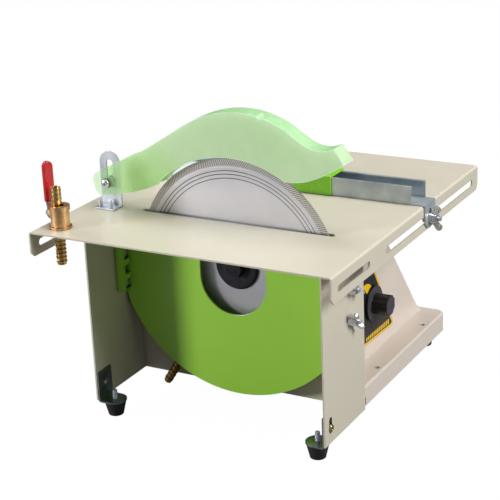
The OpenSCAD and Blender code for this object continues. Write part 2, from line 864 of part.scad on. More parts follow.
// Fan behind the front bell: a hub, a disc and radial blades
module cooling_fan() {
    blades = 9;
    color([0.1, 0.1, 0.1]) difference() {
        union() {
            rod_y(cut_x, -56, arbor_z, 12, 6);
            rod_y(cut_x, -51.5, arbor_z, 30, 1.5);
            for (i = [0:blades - 1]) translate([cut_x, 0, arbor_z]) rotate([0, i * 360 / blades, 0])
                box([10, -56, -0.8], [30, -51, 0.8]);
        }
        rod_y(cut_x, -60, arbor_z, shaft_r, 12);
    }
}

module inner_flange() {
    color([0.3, 0.3, 0.32]) difference() {
        union() {
            rod_y(cut_x, disc_y + disc_t / 2, arbor_z, flange_r, 3.4);
            rod_y(cut_x, disc_y + disc_t / 2, arbor_z, 13, 9);
        }
        rod_y(cut_x, disc_y, arbor_z, shaft_r, 12);
        ring_y(disc_y + disc_t / 2 - 1, flange_r - 5, 13, 2);
    }
}

// Dished clamping washer in front of the disc
module outer_flange() {
    front = disc_y - disc_t / 2;
    color([0.2, 0.2, 0.23]) difference() {
        translate([cut_x, front, arbor_z]) rotate([90, 0, 0]) union() {
            cylinder(r = flange_r, h = outer_flange_t / 2);
            translate([0, 0, outer_flange_t / 2])
                cylinder(r1 = flange_r, r2 = flange_r - 2.2, h = outer_flange_t / 2);
        }
        translate([cut_x, front, arbor_z]) rotate([90, 0, 0]) translate([0, 0, nut_seat])
            cylinder(r1 = 15, r2 = 20, h = 2);
        rod_y(cut_x, front - 6, arbor_z, shaft_r, 7);
    }
}

// Closed hexagonal cap nut seated in the washer's dish
module arbor_nut() {
    color([0.12, 0.12, 0.14]) translate([cut_x, disc_y - disc_t / 2 - nut_seat, arbor_z])
        rotate([90, 0, 0]) difference() {
            union() {
                cylinder(r = cap_nut_r, h = cap_nut_h, $fn = 6);
                cylinder(r = cap_nut_r - 1.5, h = cap_nut_h + 0.8);
            }
            translate([0, 0, -eps]) cylinder(r = arbor_tip_r, h = cap_nut_h - 1);
        }
}

// Steel core with a slightly thicker diamond rim
module saw_blade() {
    rim_w = 9;
    rim_t = disc_t + 0.5;
    color([0.7, 0.7, 0.72]) union() {
        difference() {
            rod_y(cut_x, disc_y - disc_t / 2, arbor_z, disc_r - rim_w + 1, disc_t);
            rod_y(cut_x, disc_y - disc_t, arbor_z, shaft_r + run_gap, 2 * disc_t);
        }
        ring_y(disc_y - rim_t / 2, disc_r, disc_r - rim_w, rim_t);
    }
}

// ---------------------------------------------------------------- controls

// Outline of the dial label in Y and Z
module label_outline() {
    polygon([[-28, 52.3], [101, 45.8], [106.5, 49.5], [48.5, 143], [-28, 143]]);
}

module dial_label() {
    color([0.08, 0.08, 0.08]) difference() {
        plate_x(hood_x, label_t) label_outline();
        rod_x(hood_x - 1, knob_y, knob_z, 6.5, 3);
    }
}

module potentiometer() {
    color([0.3, 0.3, 0.32]) difference() {
        union() {
            rod_x(hood_x - wall_t - 10, knob_y, knob_z, 8.5, 9.9);
            rod_x(hood_x - wall_t - 1, knob_y, knob_z, 3.5, wall_t + 1.4);
        }
        rod_x(hood_x - wall_t - 6, knob_y, knob_z, pot_shaft_r + run_gap, 20);
    }
}

module pot_shaft() {
    color(zinc) rod_x(hood_x - wall_t - 5.9, knob_y, knob_z, pot_shaft_r, 26);
}

module speed_knob() {
    x0 = hood_x + label_t + knob_gap;
    shaft_end = hood_x - wall_t - 5.9 + 26;
    color([0.13, 0.13, 0.14]) difference() {
        union() {
            rod_x(x0, knob_y, knob_z, knob_skirt_r, knob_skirt_t);
            plate_x(x0 + knob_skirt_t, knob_body_l) translate([knob_y, knob_z]) difference() {
                circle(r = knob_body_r);
                for (i = [0:flute_count - 1]) rotate(i * 360 / flute_count)
                    translate([knob_body_r + flute_r - flute_depth, 0]) circle(r = flute_r);
            }
        }
        rod_x(x0 - eps, knob_y, knob_z, pot_shaft_r, shaft_end - x0 + eps);
    }
}

// Circuit board beside the motor with its larger parts
module speed_board() {
    x = hood_x - 26;
    color([0.1, 0.35, 0.15]) box([x, -10, 62], [x + 1.6, 68, 138]);
    color([0.1, 0.1, 0.1]) rod_x(x + 1.6, 10, 125, 5, 12);
    color([0.1, 0.1, 0.1]) rod_x(x + 1.6, 25, 125, 5, 12);
    color([0.6, 0.6, 0.62]) box([x + 1.6, 0, 68], [x + 12, 30, 90]);
    color([0.2, 0.2, 0.5]) box([x + 1.6, 40, 66], [x + 8, 60, 80]);
    color(brass_tone) for (y = [-5, 63], z = [65.5, 134.5])
        rod_x(x + 1.6, y, z, 2.5, hood_x - wall_t - x - 1.6);
}

// Rocker switch body: a bezel outside the wall and a box inside it
module power_switch() {
    color([0.08, 0.08, 0.08]) difference() {
        union() {
            box([hood_left_x - 1.5, switch_y - 8, switch_z - 11],
                [hood_left_x, switch_y + 8, switch_z + 11]);
            box([hood_left_x, switch_y - switch_half_y, switch_z - switch_half_z],
                [hood_left_x + 14, switch_y + switch_half_y, switch_z + switch_half_z]);
        }
        rod_y(hood_left_x, switch_y - 4.6, switch_z, 8.4, 9.2);
        box([hood_left_x - 4, switch_y - 4.6, switch_z - 8.4],
            [hood_left_x, switch_y + 4.6, switch_z + 8.4]);
        rod_y(hood_left_x, switch_y - 6, switch_z, rocker_pivot_r + run_gap, 12);
    }
}

// Rocker: a round-backed key that tilts on two short pins
module switch_rocker() {
    tilt = 10;
    color([0.6, 0.05, 0.05]) translate([hood_left_x, switch_y, switch_z]) rotate([0, tilt, 0]) union() {
        difference() {
            rod_y(0, -4.5, 0, 8.3, 9);
            for (s = [-1, 1]) rotate([0, -s * tilt, 0])
                box([-12, -5, s < 0 ? -12 : -0.01], [-2.4, 5, s < 0 ? 0.01 : 12]);
            box([2, -5, -9], [9, 5, 9]);
        }
        rod_y(0, -5.8, 0, rocker_pivot_r, 11.6);
    }
}

// Panel socket for a removable power cord
module power_inlet() {
    color([0.06, 0.06, 0.06]) difference() {
        union() {
            box([hood_left_x - 2, inlet_y - 16, inlet_z - 12.5],
                [hood_left_x, inlet_y + 16, inlet_z + 12.5]);
            box([hood_left_x, inlet_y - inlet_half_y, inlet_z - inlet_half_z],
                [hood_left_x + 18, inlet_y + inlet_half_y, inlet_z + inlet_half_z]);
        }
        box([hood_left_x - 3, inlet_y - 12, inlet_z - 8], [hood_left_x + 14, inlet_y + 12, inlet_z + 8]);
    }
    color(brass_tone) for (dy = [-7, 0, 7])
        box([hood_left_x + 1, inlet_y + dy - 1, inlet_z - 2 + (dy == 0 ? 3 : -1)],
            [hood_left_x + 14, inlet_y + dy + 1, inlet_z + 2 + (dy == 0 ? 3 : -1)]);
}

// ---------------------------------------------------------------- guard

module guard_bracket() {
    r = upright_w / 2;
    slot_low = pivot_z - upright_slot_w / 2;
    color(zinc) difference() {
        union() {
            plate_y(upright_y0, 2) {
                translate([pivot_x, upright_top - r]) circle(r = r);
                translate([pivot_x - r, table_h + 2]) square([upright_w, upright_top - r - table_h - 2]);
            }
            box([pivot_x - r, disc_y - 19, table_h], [pivot_x + r, upright_y0 + 2, table_h + 2]);
        }
        plate_y(upright_y0 - eps, 3) translate([pivot_x, (slot_low + upright_slot_top) / 2]) rotate(90)
            slot_2d(upright_slot_top - slot_low, upright_slot_w);
        for (dx = [-1, 1])
            rod_z(pivot_x + dx * bracket_screw_dx, bracket_screw_y, table_h - eps, bracket_screw_r, 3);
    }
}

// Two screws from below through the table into the bracket's threaded foot
module guard_bracket_screws() {
    color(zinc) for (dx = [-1, 1]) translate([pivot_x + dx * bracket_screw_dx, bracket_screw_y, 0]) {
        rod_z(0, 0, table_under - 2.6, 3.9, 2.6);
        rod_z(0, 0, table_under, bracket_screw_r, bracket_screw_top - table_under);
    }
}

// Cross screw of the guard with its round head, a bush in the bracket's slot, spacers and end nut
module guard_screw() {
    inner_front = guard_y0 + guard_wall;
    inner_back = guard_y1 - guard_wall;
    color(zinc) {
        rod_y(pivot_x, guard_y0 - 2.6, pivot_z, 4.8, 2.5);
        rod_y(pivot_x, guard_y0 - 0.2, pivot_z, guard_screw_r, guard_t + 5);
        rod_y(pivot_x, inner_front + 0.1, pivot_z, 6, upright_y0 - inner_front - 0.2);
        rod_y(pivot_x, upright_y0 - 0.5, pivot_z, bush_r, 3);
        rod_y(pivot_x, upright_y0 + 2.1, pivot_z, 6, inner_back - upright_y0 - 2.2);
        translate([pivot_x, guard_y1 + 0.1, pivot_z]) rotate([-90, 0, 0]) cylinder(r = 5, h = 4, $fn = 6);
    }
}

// Point on a smooth curve through four points, at t from the second to the third
function curve_point(a, b, c, d, t) =
    0.5 * ((2 * b) + (c - a) * t + (2 * a - 5 * b + 4 * c - d) * t * t
        + (3 * b - a - 3 * c + d) * t * t * t);

// Smooth curve through a list of points, with steps between each pair
function smooth(p, steps) = [
    for (i = [0:len(p) - 2], k = [0:steps - 1])
        curve_point(p[max(i - 1, 0)], p[i], p[i + 1], p[min(i + 2, len(p) - 1)], k / steps),
    p[len(p) - 1]
];

// Arc from angle a0 to a1 about a centre
function arc(centre, r, a0, a1, steps) = [
    for (k = [0:steps]) centre + r * [cos(a0 + (a1 - a0) * k / steps), sin(a0 + (a1 - a0) * k / steps)]
];

// The guard's upper edge from the round end over the hump to the tail, in X and Z
guard_top = smooth([
    [-157, table_h + 44], [-128, table_h + 59], [-102, table_h + 71], [-62, table_h + 95.5],
    [-33, table_h + 113], [-5, table_h + 124], [22, table_h + 128.5], [50, table_h + 126.5],
    [77, table_h + 117.5], [95, table_h + 106], [111, table_h + 97.5], [126, table_h + 95.5],
    [140.5, table_h + 99.5]
], 4);
guard_tail = [152, table_h + 83];
// The lower edge from the tail to the disc's arc
guard_low_right = smooth([
    [152, table_h + 83], [135.5, table_h + 73], [119.5, table_h + 64.7], [104, table_h + 59.2],
    [92, table_h + 57.4], [84, table_h + 57.2]
], 3);
// The lower edge from the disc's arc to the round end
guard_low_left = smooth([
    [-80, table_h + 35.5], [-101, table_h + 27], [-125, table_h + 20], [-158, table_h + 14.5]
], 4);
guard_end = smooth([
    [-158, table_h + 14.5], [-164, table_h + 20], [-167, table_h + 34], [-164, table_h + 40],
    [-157, table_h + 44]
], 3);

module guard_side() {
    disc_centre = [cut_x, arbor_z];
    polygon(concat(guard_top, guard_low_right,
        arc(disc_centre, guard_arc_r, guard_arc_from, guard_arc_to, 24), guard_low_left, guard_end));
}

// Inside of the guard: its outline lowered by the wall, open downwards
module guard_cavity() {
    roof = [for (p = guard_top) p - [0, guard_wall + 0.6]];
    polygon(concat(roof, [guard_tail - [guard_wall + 1, -1]],
        [[130, table_h], [-170, table_h], [-170, table_h + 41]]));
}

module blade_guard() {
    color(clear_green) difference() {
        plate_y(guard_y0, guard_t) guard_side();
        plate_y(guard_y0 + guard_wall, guard_t - 2 * guard_wall) guard_cavity();
        rod_y(pivot_x, guard_y0 + guard_wall, pivot_z, pivot_clear_r, guard_t - 2 * guard_wall);
        rod_y(pivot_x, guard_y0 - eps, pivot_z, guard_screw_r + run_gap, guard_t + 2 * eps);
        rod_y(guard_dent_x, guard_y0 - eps, guard_dent_z, guard_dent_r, guard_dent_l + eps);
    }
}

// ---------------------------------------------------------------- fence

// Channel section in Y and Z, with small inward returns
module channel_section() {
    lip = 4;
    difference() {
        translate([0, fence_h / 2]) square([fence_w, fence_h], center = true);
        translate([0, fence_h / 2])
            square([fence_w - 2 * fence_t, fence_h - 2 * fence_t], center = true);
        translate([0, fence_h]) square([fence_w - 2 * lip, 2 * fence_h - 4 * fence_t], center = true);
    }
}

module fence_channel() {
    web_end = table_w / 2 + flange_gap;
    front_end = 169.5;
    back_end = 175;
    slot_w = 2 * bolt_r + 0.6;
    color(zinc) difference() {
        union() {
            translate([0, fence_mid_y, table_h]) difference() {
                plate_x(-back_end, 2 * back_end) channel_section();
                for (s = [-1, 1]) mirror_x(s)
                    box([front_end, -fence_w, fence_t], [back_end + 1, 0, fence_h + 1]);
            }
            box([-web_end, fence_mid_y - tab_w / 2, table_h],
                [web_end, fence_mid_y + tab_w / 2, table_h + fence_t]);
            for (s = [-1, 1]) mirror_x(s) plate_x(web_end, fence_t) translate([fence_mid_y, 0]) polygon([
                [-tab_w / 2, table_h + fence_t],
                [tab_w / 2, table_h + fence_t],
                [tab_w / 2, tab_z + tab_corner],
                [tab_w / 2 - tab_corner, tab_z],
                [tab_corner - tab_w / 2, tab_z],
                [-tab_w / 2, tab_z + tab_corner]
            ]);
        }
        plate_x(-table_w, 2 * table_w) translate([fence_mid_y, slot_z + 3.5]) rotate(90)
            slot_2d(16, slot_w);
    }
}

// Stop block that straddles the channel and slides along it
module fence_block() {
    gap = 0.2;
    y0 = fence_y - gap - block_t;
    y1 = fence_y + fence_w + gap + 4;
    color(lime) difference() {
        box([block_x0, y0, table_h + 0.4], [block_x0 + block_l, y1, table_h + fence_h + gap + 1.5]);
        box([block_x0 - eps, fence_y - gap, table_h - 1],
            [block_x0 + block_l + eps, fence_y + fence_w + gap, table_h + fence_h + gap]);
    }
}

module fence_bolts() {
    color(zinc) for (s = [-1, 1]) mirror_x(s) {
        rod_x(table_w / 2 - sheet_t - 3.1, fence_mid_y, slot_z, 6.5, 3);
        rod_x(table_w / 2 - sheet_t - 1, fence_mid_y, slot_z, bolt_r, 18);
    }
}

module fence_wing_nut_left() {
    color(zinc) mirror([1, 0, 0])
        wing_nut(table_w / 2 + flange_gap + fence_t + 0.1, fence_mid_y, slot_z, 12);
}

module fence_wing_nut_right() {
    color(zinc) wing_nut(table_w / 2 + flange_gap + fence_t + 0.1, fence_mid_y, slot_z, 12);
}

// ---------------------------------------------------------------- water valve

// Places children on the valve's axis at table height, with its stem along local -X
module valve_place() {
    translate([valve_x, valve_y, table_h]) rotate([0, 0, valve_turn]) children();
}

module valve_body() {
    stem_z = valve_stem_z - table_h;
    color(brass_tone) valve_place() difference() {
        union() {
            translate([0, 0, 0.1]) cylinder(r = valve_base_r, h = 2.4);
            cylinder(r = valve_r, h = valve_h - 2);
            translate([0, 0, valve_h - 5]) cylinder(r = valve_collar_r, h = 5);
            rod_x(-17, 0, stem_z, 6.5, 10);
        }
        translate([0, 0, stem_z]) sphere(r = valve_ball_r + run_gap);
        translate([0, 0, -1]) cylinder(r = valve_bore_r, h = valve_h + 2);
        translate([0, 0, -1]) cylinder(r = tail_r, h = 5);
        translate([0, 0, valve_h - 4]) cylinder(r = tube_thread_r, h = 5);
        rod_x(-20, 0, stem_z, stem_r + run_gap, 20);
    }
}

// Bored ball on its stem
module valve_ball() {
    stem_z = valve_stem_z - table_h;
    color(zinc) valve_place() difference() {
        union() {
            translate([0, 0, stem_z]) sphere(r = valve_ball_r);
            rod_x(-lever_offset - 6, 0, stem_z, stem_r, lever_offset + 2);
        }
        translate([0, 0, -1]) cylinder(r = valve_bore_r, h = valve_h + 2);
    }
}

// Outline of the lever in local Y and Z above the stem: a round eye, a neck and a wider blade
module lever_outline() {
    neck = 3.4;
    circle(r = 5.6);
    polygon([[-neck, 0], [neck, 0], [lever_half_w, grip_from - 2], [lever_half_w, lever_l],
        [-lever_half_w, lever_l], [-lever_half_w, grip_from - 2]]);
    translate([0, lever_l]) circle(r = lever_half_w);
}

// Flat steel lever with its end nut
module valve_lever() {
    stem_z = valve_stem_z - table_h;
    color(zinc) valve_place() {
        difference() {
            plate_x(-lever_offset - 1, 2) translate([0, stem_z]) lever_outline();
            rod_x(-lever_offset - 3, 0, stem_z, stem_r, 6);
        }
        nut_x(-lever_offset - 5, 0, stem_z, 8, 4, stem_r);
    }
}

// Soft sleeve over the lever
module lever_grip() {
    stem_z = valve_stem_z - table_h;
    color([0.75, 0.05, 0.08]) valve_place() difference() {
        plate_x(-lever_offset - 2.8, 5.6) translate([0, stem_z]) {
            translate([-grip_half_w, grip_from]) square([2 * grip_half_w, lever_l - grip_from]);
            translate([0, lever_l]) circle(r = grip_half_w);
        }
        plate_x(-lever_offset - 1, 2) translate([0, stem_z]) lever_outline();
    }
}

// Smooth tube on the valve's top, for the hose to the disc
module water_outlet_tube() {
    color(brass_tone) valve_place() difference() {
        union() {
            translate([0, 0, valve_h - 4]) cylinder(r = tube_thread_r, h = 5);
            translate([0, 0, valve_h]) cylinder(r = tube_r, h = tube_top - valve_h);
        }
        translate([0, 0, valve_h - 5]) cylinder(r = valve_bore_r, h = tube_top);
    }
}

// Threaded hose barb below the table, with the hexagon that clamps the valve
module water_inlet_barb() {
    hex_h = 7;
    rings_z = inlet_tip + inlet_rings * inlet_pitch;
    color(brass_tone) valve_place() difference() {
        union() {
            translate([0, 0, -sheet_t - hex_h]) cylinder(r = valve_base_r, h = hex_h, $fn = 6);
            translate([0, 0, -sheet_t - 1]) cylinder(r = tail_r, h = sheet_t + 5);
            translate([0, 0, inlet_tip]) cylinder(r = barb_root_r, h = -inlet_tip - sheet_t - 2);
            translate([0, 0, rings_z]) mirror([0, 0, 1])
                barb_rings(0, rings_z - inlet_tip, inlet_rings, barb_root_r, inlet_crest_r);
        }
        translate([0, 0, inlet_tip - 1]) cylinder(r = valve_bore_r, h = -inlet_tip + 10);
    }
}

table_top();
splash_housing();
housing_screws();
machine_body();
bottom_cover();
foot_brackets();
foot_screws();
front_feet();
rear_feet();
case_front();
case_back();
case_bolts();
drain_barb();
drain_nut();
case_wing_nut_left_upper();
case_wing_nut_left_lower();
case_wing_nut_right_upper();
case_wing_nut_right_lower();
motor_can();
motor_magnets();
motor_front_bell();
motor_rear_bell();
motor_screws();
bearing_outer_rings();
bearing_inner_rings();
bearing_balls();
brush_holders();
carbon_brushes();
motor_shaft();
rotor_core();
rotor_windings();
commutator();
cooling_fan();
inner_flange();
outer_flange();
arbor_nut();
saw_blade();
dial_label();
potentiometer();
pot_shaft();
speed_knob();
speed_board();
power_switch();
switch_rocker();
power_inlet();
guard_bracket();
guard_bracket_screws();
guard_screw();
blade_guard();
fence_channel();
fence_block();
fence_bolts();
fence_wing_nut_left();
fence_wing_nut_right();
valve_body();
valve_ball();
valve_lever();
lever_grip();
water_outlet_tube();
water_inlet_barb();
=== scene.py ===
import json
import math

import bmesh
import bpy
from mathutils import Matrix, Vector


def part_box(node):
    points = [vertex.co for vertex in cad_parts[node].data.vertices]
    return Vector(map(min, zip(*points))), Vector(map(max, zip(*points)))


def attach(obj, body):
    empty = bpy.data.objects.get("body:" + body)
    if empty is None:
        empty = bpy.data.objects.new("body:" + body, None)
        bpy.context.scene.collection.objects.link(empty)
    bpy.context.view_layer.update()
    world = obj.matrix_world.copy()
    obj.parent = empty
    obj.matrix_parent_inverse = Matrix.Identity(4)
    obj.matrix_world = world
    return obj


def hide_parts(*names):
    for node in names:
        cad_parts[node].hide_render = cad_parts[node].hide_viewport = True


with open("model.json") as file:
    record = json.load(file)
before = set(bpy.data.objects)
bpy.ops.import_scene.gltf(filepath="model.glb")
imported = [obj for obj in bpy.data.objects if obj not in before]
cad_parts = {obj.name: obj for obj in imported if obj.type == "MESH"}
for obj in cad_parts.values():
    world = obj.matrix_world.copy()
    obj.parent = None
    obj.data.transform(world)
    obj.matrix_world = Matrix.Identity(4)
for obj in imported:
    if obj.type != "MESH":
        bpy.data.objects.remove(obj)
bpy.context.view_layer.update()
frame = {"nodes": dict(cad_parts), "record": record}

MM = 0.001
RECORD = frame["record"]
BODY_OF = {node: body for body, nodes in RECORD["behaviour"]["bodies"].items() for node in nodes}
SLOT_OF = {part["node"]: part["material_slot"] for part in RECORD["subparts"]}

CAMERA_PLACE = (0.7741, -1.4151, 0.74725)
CAMERA_YAW = 0.5124  # radians, as are the pitch and the roll
CAMERA_PITCH = 0.3473
CAMERA_ROLL = -0.0429
LENS = 104.96
SENSOR = 36
AMBIENT = 0.13

X_AXIS = Vector((1, 0, 0))
Y_AXIS = Vector((0, 1, 0))
Z_AXIS = Vector((0, 0, 1))


# ---------------------------------------------------------------- places and sizes

def middle(node):
    low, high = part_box(node)
    return (low + high) / 2


def point(x, y, z):
    return Vector((x, y, z)) * MM


def half_height(node):
    low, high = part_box(node)
    return (high.z - low.z) / 2


DISC = middle("saw_blade")
DISC_R = half_height("saw_blade")
DISC_BORE_R = 8.06 * MM
GROOVE_INSETS = (22.5 * MM, 18 * MM, 14 * MM)
TEETH = 300
TABLE_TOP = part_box("table_top")[1].z
TABLE_THICK = 2 * MM
KNOB = middle("speed_knob")
KNOB_R = half_height("speed_knob")
PIVOT_X = middle("guard_bracket").x
PIVOT_Z = middle("guard_screw").z
CASE_BOLT_HEIGHTS = tuple(middle(f"case_wing_nut_left_{place}").z for place in ("lower", "upper"))
BOLT_HEAD_H = 3 * MM
WATER_BORE_R = 4 * MM


# ---------------------------------------------------------------- materials

def srgb(red, green, blue):
    """Linear colour of an 8-bit screen colour."""
    def linear(value):
        value /= 255
        return value / 12.92 if value <= 0.04045 else ((value + 0.055) / 1.055) ** 2.4
    return (linear(red), linear(green), linear(blue), 1)


class Surface:
    """A procedural material: one Principled shader fed by texture nodes in the row frame, in metres."""

    def __init__(self, name, colour=(1, 1, 1, 1), rough=0.5, metal=0.0):
        self.material = bpy.data.materials.new(name)
        self.material.use_nodes = True
        self.tree = self.material.node_tree
        self.shader = self.tree.nodes["Principled BSDF"]
        self.coords = self.tree.nodes.new("ShaderNodeTexCoord").outputs["Object"]
        self.feed("Base Color", colour)
        self.feed("Roughness", rough)
        self.feed("Metallic", metal)

    def put(self, socket, value):
        """Links an output to a socket, or sets the socket's value."""
        if isinstance(value, bpy.types.NodeSocket):
            self.tree.links.new(value, socket)
        else:
            socket.default_value = value

    def feed(self, name, value):
        self.put(self.shader.inputs[name], value)

    def stretched(self, scale):
        node = self.tree.nodes.new("ShaderNodeMapping")
        self.put(node.inputs["Vector"], self.coords)
        node.inputs["Scale"].default_value = scale
        return node.outputs["Vector"]

    def noise(self, scale, detail=2.0, vector=None):
        node = self.tree.nodes.new("ShaderNodeTexNoise")
        self.put(node.inputs["Vector"], vector or self.coords)
        node.inputs["Scale"].default_value = scale
        node.inputs["Detail"].default_value = detail
        return node.outputs["Fac"]

    def spread(self, value, low, high):
        """A noise value, most of which lies between 0.3 and 0.7, rescaled to run from low to high."""
        node = self.tree.nodes.new("ShaderNodeMapRange")
        self.put(node.inputs["Value"], value)
        for name, number in zip(("From Min", "From Max", "To Min", "To Max"), (0.3, 0.7, low, high)):
            node.inputs[name].default_value = number
        return node.outputs["Result"]

    def step_between(self, value, low, high):
        """0 where value is at low or beyond it, 1 at high or beyond it, and a ramp between."""
        node = self.tree.nodes.new("ShaderNodeMapRange")
        node.clamp = True
        self.put(node.inputs["Value"], value)
        node.inputs["From Min"].default_value = low
        node.inputs["From Max"].default_value = high
        return node.outputs["Result"]

    def maths(self, kind, first, second=0.0, clamp=False):
        node = self.tree.nodes.new("ShaderNodeMath")
        node.operation = kind
        node.use_clamp = clamp
        self.put(node.inputs[0], first)
        self.put(node.inputs[1], second)
        return node.outputs[0]

    def mixed(self, factor, first, second):
        node = self.tree.nodes.new("ShaderNodeMix")
        node.data_type = "RGBA"
        self.put(node.inputs["Factor"], factor)
        self.put(node.inputs[6], first)
        self.put(node.inputs[7], second)
        return node.outputs[2]

    def axes(self, source=None):
        """X, Y and Z of a vector, the place by default."""
        node = self.tree.nodes.new("ShaderNodeSeparateXYZ")
        self.put(node.inputs[0], source or self.coords)
        return node.outputs[0], node.outputs[1], node.outputs[2]

    def distance(self, centre, scale=(1, 1, 1)):
        """Distance from a point, with each axis weighted."""
        shift = self.tree.nodes.new("ShaderNodeVectorMath")
        shift.operation = "SUBTRACT"
        self.put(shift.inputs[0], self.coords)
        shift.inputs[1].default_value = centre
        weigh = self.tree.nodes.new("ShaderNodeVectorMath")
        weigh.operation = "MULTIPLY"
        self.put(weigh.inputs[0], shift.outputs[0])
        weigh.inputs[1].default_value = scale
        length = self.tree.nodes.new("ShaderNodeVectorMath")
        length.operation = "LENGTH"
        self.put(length.inputs[0], weigh.outputs[0])
        return length.outputs["Value"]

    def bump(self, height, depth, strength=1.0):
        node = self.tree.nodes.new("ShaderNodeBump")
        self.put(node.inputs["Height"], height)
        node.inputs["Distance"].default_value = depth
        node.inputs["Strength"].default_value = strength
        self.feed("Normal", node.outputs["Normal"])

    def painted_hollow_shade(self, colour, reach, amount):
        """A colour with painted shade: darker where other surfaces stand closer than reach."""
        falloff = 2.2
        darkening = 0.82
        # Ambient occlusion paints shade into the colour of hollows, corners and gaps between parts.
        node = self.tree.nodes.new("ShaderNodeAmbientOcclusion")
        node.samples = 6
        node.inputs["Distance"].default_value = reach
        closed = self.maths("POWER", self.maths("SUBTRACT", 1.0, node.outputs["AO"], clamp=True), falloff)
        dark = self.mixed(darkening, colour, (0.004, 0.004, 0.004, 1))
        return self.mixed(self.maths("MULTIPLY", closed, amount, clamp=True), colour, dark)

    def edge_highlight(self, colour, light, amount):
        """A colour with a painted highlight: paler along convex edges."""
        geometry = self.tree.nodes.new("ShaderNodeNewGeometry")
        edge = self.step_between(geometry.outputs["Pointiness"], 0.51, 0.56)
        return self.mixed(self.maths("MULTIPLY", edge, amount), colour, light)


def painted(name, colour, rough, grain=1400, depth=0.00004, coat=0.25):
    """Powder coat or enamel: fine orange peel, faint cloudy tone, a painted highlight along its edges and
    painted shade in its hollows.
    """
    s = Surface(name, colour, rough)
    darker = tuple(0.93 * c for c in colour[:3]) + (1,)
    # Colour of the painted highlight along the edges.
    lighter = tuple(min(1, 1.12 * c) for c in colour[:3]) + (1,)
    cloud = s.spread(s.noise(9, 3), 0, 1)
    speckle = s.spread(s.noise(900, 1), 0, 0.2)
    tone = s.mixed(s.maths("ADD", s.maths("MULTIPLY", cloud, 0.5), speckle, clamp=True), colour, darker)
    # Paler edges are a painted highlight and darker hollows are painted shade.
    s.feed("Base Color", s.painted_hollow_shade(s.edge_highlight(tone, lighter, 0.2), reach=8 * MM, amount=2))
    s.feed("Roughness", s.spread(s.noise(40, 3), rough - 0.05, rough + 0.07))
    s.feed("Coat Weight", coat)
    s.feed("Coat Roughness", 0.22)
    s.bump(s.noise(grain, 2), depth)
    return s.material


def plated(name, light, dark, rough, patch=60, streak=(1, 1, 1), scratch=0.00001, hollow_shade_amount=0.8, metal=1.0):
    """Plated or machined metal: patchy tone, fine directional scratches, uneven gloss and painted shade in
    its hollows.
    """
    s = Surface(name, light, rough, metal)
    patches = s.spread(s.noise(patch, 4), 0, 1)
    # Darker hollows are painted shade, and the amount argument sets how strong it is.
    s.feed("Base Color", s.painted_hollow_shade(s.mixed(patches, light, dark), reach=5 * MM, amount=2.4 * hollow_shade_amount))
    lines = s.noise(700, 3, s.stretched(streak))
    s.feed("Roughness", s.spread(lines, rough - 0.06, rough + 0.12))
    s.bump(lines, scratch)
    return s.material


def moulded(name, colour, light, rough, grain=1800, depth=0.00005, coat=0.0):
    """Moulded plastic or rubber: fine pitted skin, cloudy tone and a painted highlight along its edges."""
    s = Surface(name, colour, rough)
    tone = s.mixed(s.spread(s.noise(120, 4), 0, 0.6), colour, light)
    # Paler edges are a painted highlight.
    s.feed("Base Color", s.edge_highlight(tone, light, 0.6))
    s.feed("Roughness", s.spread(s.noise(200, 2), rough - 0.06, rough + 0.08))
    s.feed("Coat Weight", coat)
    s.bump(s.noise(grain, 2), depth)
    return s.material


def ground_disc():
    """Ground steel: gloss and tone in rings about the axis, grooves painted dark as painted shade and a
    gritty toothed rim.
    """
    rim_edge = DISC_R - 8 * MM
    teeth_slant = 1500
    s = Surface("ground_disc", metal=0.85)
    radius = s.distance(DISC, (1, 0, 1))
    ring = s.tree.nodes.new("ShaderNodeTexNoise")
    ring.noise_dimensions = "1D"
    s.put(ring.inputs["W"], radius)
    ring.inputs["Scale"].default_value = 1600
    ring.inputs["Detail"].default_value = 3
    rings = ring.outputs["Fac"]
    cloud = s.spread(s.noise(14, 3), 0, 0.7)
    steel = s.mixed(cloud, srgb(219, 218, 226), srgb(199, 198, 206))
    # The grooves are painted dark: painted shade in the recesses.
    for inset in GROOVE_INSETS:
        offset = s.maths("ABSOLUTE", s.maths("SUBTRACT", radius, DISC_R - inset))
        steel = s.mixed(s.step_between(offset, 0.55 * MM, 0.3 * MM), steel, srgb(92, 90, 94))
    x_place, _, z_place = s.axes()
    angle = s.maths("ARCTAN2", s.maths("SUBTRACT", z_place, DISC.z), s.maths("SUBTRACT", x_place, DISC.x))
    slant = s.maths("MULTIPLY", radius, teeth_slant)
    stripe = s.maths("SINE", s.maths("ADD", s.maths("MULTIPLY", angle, TEETH), slant))
    tooth = s.step_between(stripe, -0.7, 0.3)
    grit = s.mixed(s.spread(s.noise(1500, 2), 0, 1), srgb(224, 221, 221), srgb(186, 182, 180))
    rim = s.mixed(tooth, srgb(132, 128, 127), grit)
    s.feed("Base Color", s.mixed(s.step_between(radius, rim_edge - 0.6 * MM, rim_edge), steel, rim))
    s.feed("Roughness", s.spread(rings, 0.36, 0.52))
    s.feed("Anisotropic", 0.5)
    s.bump(rings, 0.000006)
    return s.material


